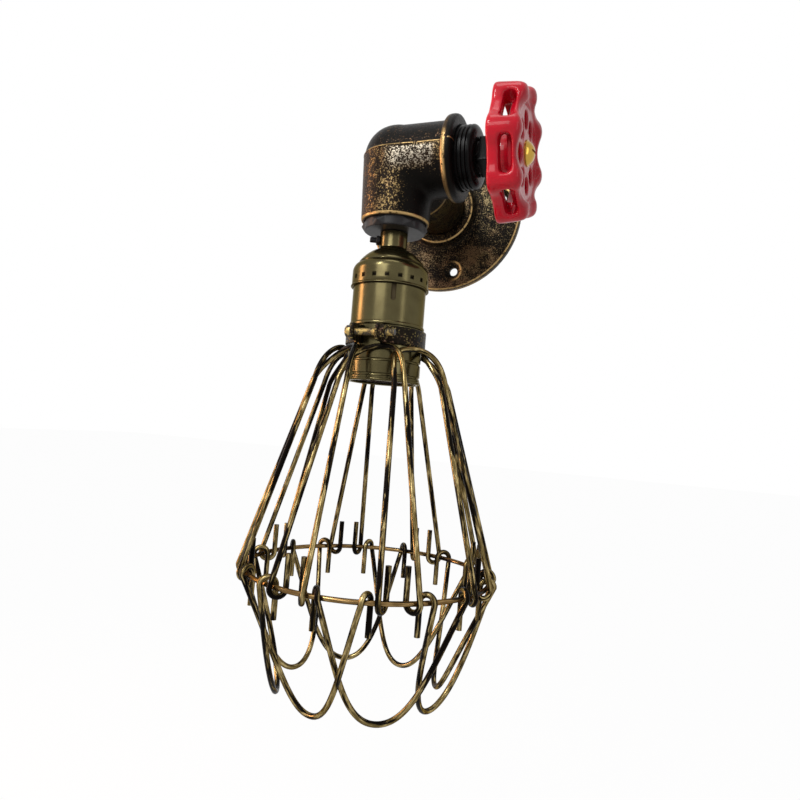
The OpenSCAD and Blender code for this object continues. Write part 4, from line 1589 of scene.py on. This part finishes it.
@dataclass(frozen=True)
class Cage:
    """Bell cage of eight hairpins from the band to the ring, and eight petals under the ring."""

    count: int = 8
    turn: float = 36.0
    drop: float = 286.4
    band_low: float = -103.2
    shell_r: float = 20.1
    wire_r: float = 1.44
    ring_r: float = 65.2
    ring_wire_r: float = 1.25
    ring_sides: int = 192
    hook_r: float = 3.83
    tail_l: float = 16.0
    hairpin_half: float = 28.8
    hairpin_turn: float = 35.0
    shoulder_r: float = 37.6
    shoulder_half: float = 26.5
    shoulder_drop: float = 20.8
    shoulder_lead: float = 13.0
    arch_half: float = 11.5
    arch_cross: float = 1.8
    arch_cross_turn: float = 52.0
    petal_half: float = 32.5
    petal_h: float = 62.4
    petal_tip_r: float = 43.2
    waist_drop: float = 34.0
    waist_half: float = 22.0
    toe_half: float = 16.0
    petal_cross: float = 2.3
    seat: float = 0.3
    steps: int = 40

    @property
    def ring_z(self) -> float:
        """Height of the ring."""
        return self.petal_h - self.drop

    @property
    def arch_top(self) -> Vector:
        """Top of an arch, on the hairpin's own side of the lamp."""
        return Vector((self.shell_r + self.wire_r + self.seat, 0, self.band_low - self.wire_r - self.seat))

    def build(self) -> None:
        """Make the ring, the hairpins and the petals."""
        wires = WireRecipe(WIRE)
        self.ring(WireRecipe(RING_WIRE))
        pitch = 360 / self.count
        hairpin = self.joined(self.hairpin_leg(1), self.hairpin_leg(-1))
        petal = self.joined(self.petal_leg(1), self.petal_leg(-1))
        for number in range(1, self.count + 1):
            turn = self.turn + pitch * (number - 0.5)
            name, node = f"hairpin_wire_{number}", f"hairpin_{number}"
            self.wire(wires, name, hairpin, turn, number, Body.FITTING, node)
            name, body, node = f"petal_wire_{number}", f"petal_{number}_wire", f"petal_{number}"
            self.wire(wires, name, petal, turn - pitch / 2, number + 20, body, node)

    @staticmethod
    def joined(right: list[Vector], left: list[Vector]) -> list[Vector]:
        """Both halves of a wire as one path."""
        return right + left[-2::-1]

    @staticmethod
    def curve(a: Vector, b: Vector, c: Vector, d: Vector, t: float) -> Vector:
        """Point at t of a cubic curve with four control points."""
        s = 1 - t
        return s**3 * a + 3 * s * s * t * b + 3 * s * t * t * c + t**3 * d

    def hook(self, angle: float, turn: float, up: int) -> list[Vector]:
        """Tail and bend of a hook round the ring.

        Args:
            angle: Where it sits on the ring, in degrees.
            turn: Turn of its plane from the radius.
            up: 1 if it passes over the ring, -1 if under.

        Returns:
            Its points, the last one where the leg starts.
        """
        a, b = math.radians(angle), math.radians(angle + turn)
        middle = Vector((self.ring_r * math.cos(a), self.ring_r * math.sin(a), self.ring_z))
        inward = Vector((-math.cos(b), -math.sin(b), 0))
        high = Vector((0, 0, up))
        tail = middle + self.hook_r * inward
        points = [tail - high * self.tail_l * (1 - i / 6) for i in range(6)]
        for i in range(21):
            c = math.pi * i / 20
            points.append(middle + self.hook_r * (math.cos(c) * inward + math.sin(c) * high))
        return points

    def hairpin_leg(self, side: int) -> list[Vector]:
        """Half a hairpin.

        Args:
            side: 1 for its right half, -1 for its left.

        Returns:
            Its points, from its tail to the top of its arch.
        """
        points = self.hook(side * self.hairpin_half, side * self.hairpin_turn, -1)
        foot, top = points[-1], self.arch_top
        angle, cross = math.radians(self.shoulder_half), math.radians(self.arch_cross_turn)
        across = Vector((math.cos(angle), side * math.sin(angle), 0)) * self.shoulder_r
        shoulder = across + Vector((0, 0, self.band_low - self.shoulder_drop))
        lead = shoulder + self.shoulder_lead * (shoulder - foot).normalized()
        flat = top + Vector((0, side * self.arch_half, 0))
        step = side * self.arch_cross * Vector((math.cos(cross), 0, math.sin(cross)))
        points += [foot + (shoulder - foot) * i / 12 for i in range(1, 12)]
        for i in range(self.steps + 1):
            t = i / self.steps
            points.append(self.curve(shoulder, lead, flat, top, t) + step * math.sin(math.pi * t))
        return points

    def petal_leg(self, side: int) -> list[Vector]:
        """Half a petal.

        Args:
            side: 1 for its right half, -1 for its left.

        Returns:
            Its points, from its tail to its tip.
        """
        points = self.hook(side * self.petal_half, -side * self.petal_half, 1)
        foot = points[-1]
        low = self.ring_z - self.petal_h
        slope = (foot.x - self.petal_tip_r) / self.petal_h
        waist_x, waist_z = foot.x - slope * self.waist_drop, self.ring_z - self.waist_drop
        waist = Vector((waist_x, side * self.waist_half, waist_z))
        toe = Vector((self.petal_tip_r, side * self.toe_half, low))
        tip = Vector((self.petal_tip_r, 0, low))
        for i in range(1, self.steps + 1):
            t = i / self.steps
            cross = Vector((side * self.petal_cross * math.sin(math.pi * t), 0, 0))
            points.append(self.curve(foot, waist, toe, tip, t) + cross)
        return points

    def wire(
        self, recipe: WireRecipe, name: str, path: list[Vector], turn: float, seed: int, body: Body | str,
        node: str
    ) -> None:
        """Make one wire of the cage.

        Args:
            recipe: The wire's tree.
            name: Name of the piece.
            path: Its points in millimetres, round the lamp's axis, before it is turned.
            turn: Turn of its middle from straight out, in degrees.
            seed: Number that its patches follow.
            body: What it moves with.
            node: The node that it stands for.
        """
        mesh = bpy.data.meshes.new(name)
        mesh.from_pydata([tuple(point) for point in path], [(i, i + 1) for i in range(len(path) - 1)], [])
        hang(mesh, turn - 90)
        piece = recipe.make(name, mesh, Radius=self.wire_r * MM, Seed=float(seed))
        place_piece(piece, WIRE, body, node)

    def ring(self, recipe: WireRecipe) -> None:
        """Make the ring that all the wires hook round.

        Args:
            recipe: The ring wire's tree.
        """
        count, r = self.ring_sides, self.ring_r
        angles = [math.tau * i / count for i in range(count)]
        points = [(r * math.cos(a), r * math.sin(a), self.ring_z) for a in angles]
        mesh = bpy.data.meshes.new("ring_wire")
        mesh.from_pydata(points, [(i, (i + 1) % count) for i in range(count)], [])
        hang(mesh)
        piece = recipe.make("ring_wire", mesh, Radius=self.ring_wire_r * MM, Seed=11.0, Chamfer=1e-6)
        place_piece(piece, RING_WIRE, Body.FITTING, "cage_ring")


# ---- Valve -------------------------------------------------------------------------


@dataclass(frozen=True)
class Valve:
    """Threaded plug in the side outlet and the bonnet that guides the spindle."""

    plug_r: float = 16.7
    port: float = 36.0
    thread_l: float = 15.0
    face: float = 46.0
    nose: Spot = (2.8, 4.2)
    bore_r: float = 8.7
    collar_r: float = 6.8
    grooves: int = 3
    groove: float = 1.0
    groove_in: float = 1.4
    pitch: float = 2.2
    head_w: float = 15.0
    head_turn: float = -15.0
    bonnet_low: float = 32.1
    bonnet_high: float = 55.6
    shank_r: float = 8.6
    spindle_r: float = 4.08
    seat: float = 37.5
    skin: float = 0.3

    def build(self, cad: "Cad") -> None:
        """Make the plug and the bonnet and dress the spindle."""
        self.plug()
        self.bonnet()
        cad.dress(BRIGHT_STEEL, "spindle")

    def plug(self) -> None:
        """Plug with three grooves outside the port and a rounded nose."""
        r, root, foot = self.plug_r, self.plug_r - self.groove, self.port - self.thread_l
        section = [(self.collar_r, foot), (r - 0.4, foot), (r, foot + 0.4)]
        for number in range(self.grooves):
            start = self.port + self.groove_in + self.pitch * number
            section += [(r, start - 0.25), (r - 0.15, start - 0.05), (root, start + 0.25)]
            section += [(root, start + 0.7), (r - 0.15, start + 1.0), (r, start + 1.2)]
        length, fall = self.nose
        for step in range(1, 9):
            angle = math.radians(90 * step / 8)
            section.append((r - fall * (1 - math.cos(angle)), self.face - length * (1 - math.sin(angle))))
        section += [(self.bore_r + 0.4, self.face), (self.bore_r, self.face - 0.4)]
        section += [(self.bore_r, self.bonnet_low - 0.1), (self.collar_r, self.bonnet_low - 0.1)]
        piece = Lathe(Axis.SIDE).turn("plug", section)
        place_piece(piece, BLACK_PLASTIC, Body.FITTING, "side_plug")

    def bonnet(self) -> None:
        """Bonnet with a square head between the plug and the handwheel."""
        form = Casting("bonnet", self, "head_w", "shank_r", "spindle_r", "collar_r")
        size = form.named
        x, y, z = form.x, form.y + REACH, form.z
        turn = math.radians(self.head_turn)
        across = abs(y * math.cos(turn) + z * math.sin(turn)) - size.head_w / 2
        upward = abs(z * math.cos(turn) - y * math.sin(turn)) - size.head_w / 2
        ring = form.round_about(y, z)
        head = across.most(upward, 0.9).most(form.between(x, self.face + 0.1, self.bonnet_high), 0.8)
        shank = form.bar(x, self.bonnet_low, self.face + 0.3, ring - size.shank_r, 0.5)
        bore = (ring - size.spindle_r).least((ring - size.collar_r + 0.2).most(x - self.seat))
        body = head.least(shank).most(-bore, 0.4)
        span = self.head_w * 0.75
        low = (self.bonnet_low - 1, -REACH - span, -span)
        high = (self.bonnet_high + 1, span - REACH, span)
        form.cast(body, low, high, self.skin, BLACK_PLASTIC, Body.FITTING, "valve_bonnet")


@dataclass(frozen=True)
class Handwheel:
    """Enamelled octagonal wheel with a lobe on each corner and a window in each flat."""

    back: float = 56.8
    width: float = 17.0
    front_edge: float = 8.0
    back_edge: float = 3.5
    octagon_r: float = 35.0
    lobe_circle: float = 27.7
    lobe_r: float = 8.3
    lobe_fillet: float = 3.5
    draft: float = 1.4
    count: int = 8
    dish_r: float = 25.5
    dish_edge: float = 3.5
    web: Spot = (9.0, 13.6)
    web_fillet: float = 3.0
    hub: Spot = (1.0, 13.6)
    hub_r: float = 10.5
    hub_edge: float = 1.5
    window: Spot = (6.0, 12.2)
    window_l: float = 18.0
    window_round: float = 5.0
    window_edge: float = 2.2
    scallop_r: float = 14.0
    scallop: float = 2.6
    scallop_edge: float = 3.0
    hole_circle: float = 16.0
    hole_r: float = 4.5
    hole_edge: float = 1.8
    square_half: float = 3.05
    skin: float = 0.42
    washer_r: float = 6.7
    washer_bore: float = 2.1
    dome_r: float = 6.2
    dome_h: float = 3.4
    shank_r: float = 2.0
    shank_l: float = 8.0
    slot: Point = (2.2, 20.0, 1.2)

    def build(self) -> None:
        """Make the wheel, its washer and its screw."""
        self.wheel()
        self.washer()
        self.screw()

    def wheel(self) -> None:
        """Cast wheel, rounded as thick enamel rounds it."""
        names = ("width", "octagon_r", "lobe_circle", "lobe_r", "draft", "dish_r", "hub_r", "hole_circle")
        form = Casting("wheel", self, *names, "hole_r", "window_l", "scallop_r", "scallop", "square_half")
        size = form.named
        w, y, z = form.x - self.back, form.y + REACH, form.z
        ring = form.round_about(y, z)
        half = math.pi / self.count
        corner = form.folded(z.heading(y), half)
        fold = half - corner
        n, t = ring * fold.cosine(), ring * fold.sine()
        lobe_n, lobe_t = ring * corner.cosine() - size.lobe_circle, ring * corner.sine()
        lobe = form.round_about(lobe_n, lobe_t) - size.lobe_r
        drum = n - size.octagon_r * math.cos(half)
        outline = drum.least(lobe, self.lobe_fillet) + w * (size.draft / size.width)
        rim = outline.most(w - size.width, self.front_edge).most(-w, self.back_edge)
        rim = rim.most(size.dish_r - ring, self.dish_edge)
        window = (t - size.window_l / 2).most(form.between(w, *self.window), self.window_round)
        window = window.most(size.dish_r - 2 - n)
        scoop = form.round_about(t, w - size.width - size.scallop_r + size.scallop)
        rim = rim.most(-window, self.window_edge).most(size.scallop_r - scoop, self.scallop_edge)
        web = (ring - size.dish_r - 1).most(form.between(w, *self.web), 0.5)
        hub = form.bar(w, *self.hub, ring - size.hub_r, self.hub_edge)
        holes = form.round_about(n - size.hole_circle, t) - size.hole_r
        plate = web.least(hub, self.hub_edge).most(-holes, self.hole_edge)
        square = abs(y).most(abs(z)) - size.square_half
        body = rim.least(plate, self.web_fillet).most(-square, 0.3)
        span = self.lobe_circle + self.lobe_r + 1
        low = (self.back - 1, -REACH - span, -span)
        high = (self.back + self.width + 1, span - REACH, span)
        form.cast(body, low, high, self.skin, ENAMEL, Body.WHEEL, "handwheel")

    def washer(self) -> None:
        """Brass washer between the web and the screw."""
        low, r, bore = self.back + self.web[1], self.washer_r, self.washer_bore
        section = [(bore, low), (r - 0.2, low), (r, low + 0.2), (r, low + 0.75), (r - 0.25, low + 1)]
        piece = Lathe(Axis.SIDE).turn("washer", [*section, (bore, low + 1)])
        place_piece(piece, BRIGHT_BRASS, Body.WHEEL, "wheel_washer")

    def screw(self) -> None:
        """Domed brass screw with a slot."""
        low, rise, r = self.back + self.web[1] + 1, self.dome_h, self.dome_r
        ball = (r * r + rise * rise) / (2 * rise)
        edge = math.degrees(math.asin((ball - rise) / ball))
        section = [(0, low - self.shank_l), (self.shank_r, low - self.shank_l), (self.shank_r, low)]
        section += [(r - 0.2, low), *arc((0.0, low + rise - ball), ball, edge, 90, 16)]
        section[-1] = (0, low + rise)
        piece = Lathe(Axis.SIDE).turn("wheel_screw", section, False)
        self.cut_slot(piece, low + rise)
        place_piece(piece, BRIGHT_BRASS, Body.WHEEL, "dome_screw")

    def cut_slot(self, piece: bpy.types.Object, top: float) -> None:
        """Cut the driver's slot across the dome.

        Args:
            piece: The screw.
            top: Where the dome ends, along the wheel's axis.
        """
        mesh = bpy.data.meshes.new("slot_tool")
        with editing(mesh) as form:
            bmesh.ops.create_cube(form, size=1.0)
        size = Matrix.Diagonal((*(side * MM for side in self.slot), 1))
        mesh.transform(Matrix.Translation(Vector((top, -REACH, 0)) * MM) @ size)
        cut_away(piece, new_piece("slot_tool", mesh))


# ---- The construction's own solids ---------------------------------------------------


@dataclass(frozen=True)
class Cad:
    """Solids of the construction that stay in sight."""

    nodes: dict[str, bpy.types.Object]

    def dress(self, finish: Finish, *names: str) -> None:
        """Give nodes a finish.

        Args:
            finish: The finish.
            names: The nodes' names.
        """
        for name in names:
            node = self.nodes[name]
            for slot in node.material_slots:
                slot.material = finish.material
            LOG.info("%s: carried over in %s", name, finish.name)


# ---- Studio ------------------------------------------------------------------------


@dataclass(frozen=True)
class Lamp:
    """Soft rectangular lamp that faces the object, in millimetres and watts."""

    name: str
    place: Point
    width: float
    height: float
    power: float
    tint: Point = (1.0, 1.0, 1.0)
    target: Point = (0, -70, -120)

    def build(self) -> None:
        """Hang the lamp."""
        light = bpy.data.lights.new(self.name, "AREA")
        light.shape = "RECTANGLE"
        light.size, light.size_y = self.width * MM, self.height * MM
        light.energy = self.power
        light.color = self.tint
        holder = bpy.data.objects.new(self.name, light)
        turn = (Vector(self.target) - Vector(self.place)).to_track_quat("-Z", "Y")
        holder.matrix_world = Matrix.Translation(Vector(self.place) * MM) @ turn.to_matrix().to_4x4()
        bpy.context.scene.collection.objects.link(holder)


@dataclass(frozen=True)
class Studio:
    """Camera, lights, white surroundings and pale floor."""

    place: Point = (137.4, -410.8, -146.4)
    forward: Point = (-0.3639, 0.9304, 0.0439)
    up: Point = (-0.0569, -0.0693, 0.996)
    lens: float = 28.87
    picture_w: float = 36.0
    floor_z: float = -460.0
    floor_glow: float = 0.97
    ambient: float = 0.30
    lamps: tuple[Lamp, ...] = (
        Lamp("key", (-60, -720, 220), 360, 360, 2.2),
        Lamp("fill", (640, -360, 60), 120, 520, 0.45),
        Lamp("top", (60, -200, 620), 300, 220, 0.7),
        Lamp("left", (-640, -270, -60), 150, 600, 4.4, (1.0, 0.56, 0.36)),
        Lamp("strip", (-140, -520, 330), 60, 220, 1.6),
    )

    def build(self) -> None:
        """Set up everything round the object."""
        scene = bpy.context.scene
        scene.view_settings.view_transform = "Standard"
        scene.camera = self.camera()
        self.world(scene)
        self.floor()
        for lamp in self.lamps:
            lamp.build()

    def camera(self) -> bpy.types.Object:
        """Camera at the photograph's viewing angle.

        Returns:
            The camera.
        """
        forward, up = Vector(self.forward), Vector(self.up)
        right = forward.cross(up).normalized()
        up = right.cross(forward).normalized()
        lens = bpy.data.cameras.new("camera")
        lens.lens = self.lens
        lens.sensor_width = self.picture_w
        lens.clip_start = 0.01
        holder = bpy.data.objects.new("camera", lens)
        turn = Matrix((right, up, -forward.normalized())).transposed().to_4x4()
        holder.matrix_world = Matrix.Translation(Vector(self.place) * MM) @ turn
        bpy.context.scene.collection.objects.link(holder)
        return holder

    def world(self, scene: bpy.types.Scene) -> None:
        """White all round for what is seen, and softer for what it lights.

        Args:
            scene: The scene.
        """
        world = bpy.data.worlds.new("surroundings")
        world.use_nodes = True
        graph = Graph(world.node_tree)
        world.node_tree.nodes.clear()
        strength = self.seen_rays(graph) * (1 - self.ambient) + self.ambient
        light = graph.node("ShaderNodeBackground", None, {"Color": WHITE, "Strength": strength})
        graph.node("ShaderNodeOutputWorld", None, {"Surface": light})
        scene.world = world

    @staticmethod
    def seen_rays(graph: Graph) -> Value:
        """1 for camera, glossy and transmission rays, 0 for the rest."""
        rays = graph.node("ShaderNodeLightPath", None, None, "Is Camera Ray")
        return rays.most(rays.part("Is Glossy Ray")).most(rays.part("Is Transmission Ray"))

    def floor(self) -> None:
        """Plain pale floor, white to the camera."""
        mesh = bpy.data.meshes.new("floor")
        with editing(mesh) as form:
            bmesh.ops.create_grid(form, x_segments=1, y_segments=1, size=6.0)
        mesh.transform(Matrix.Translation((0, 0, self.floor_z * MM)))
        piece = new_piece("floor", mesh)
        material = bpy.data.materials.new("pale_floor")
        skin = Skin(material)
        tone = skin.noise(40.0, 2.0) * 0.02 + 0.9
        skin.feed(Base_Color=skin.vector(tone, tone, tone), Roughness=0.8)
        glow = skin.node("ShaderNodeEmission", None, {"Color": WHITE, "Strength": 1.0})
        share = self.seen_rays(skin) * self.floor_glow
        skin.surface = skin.node("ShaderNodeMixShader", None, {0: share, 1: skin.surface, 2: glow})
        skin.close()
        mesh.materials.append(material)


def main() -> None:
    """Build the light in order: studio, wall side, elbow, lampholder, clamp, cage, valve and wheel."""
    logging.basicConfig(level=logging.INFO, format="%(name)s: %(message)s")
    Studio().build()
    cad = Cad(frame["nodes"])
    WallSide().build(cad)
    SideOutletElbow().build()
    Lampholder().build(cad)
    Clamp().build()
    Cage().build()
    Valve().build(cad)
    Handwheel().build()


if __name__ == "__main__":
    main()
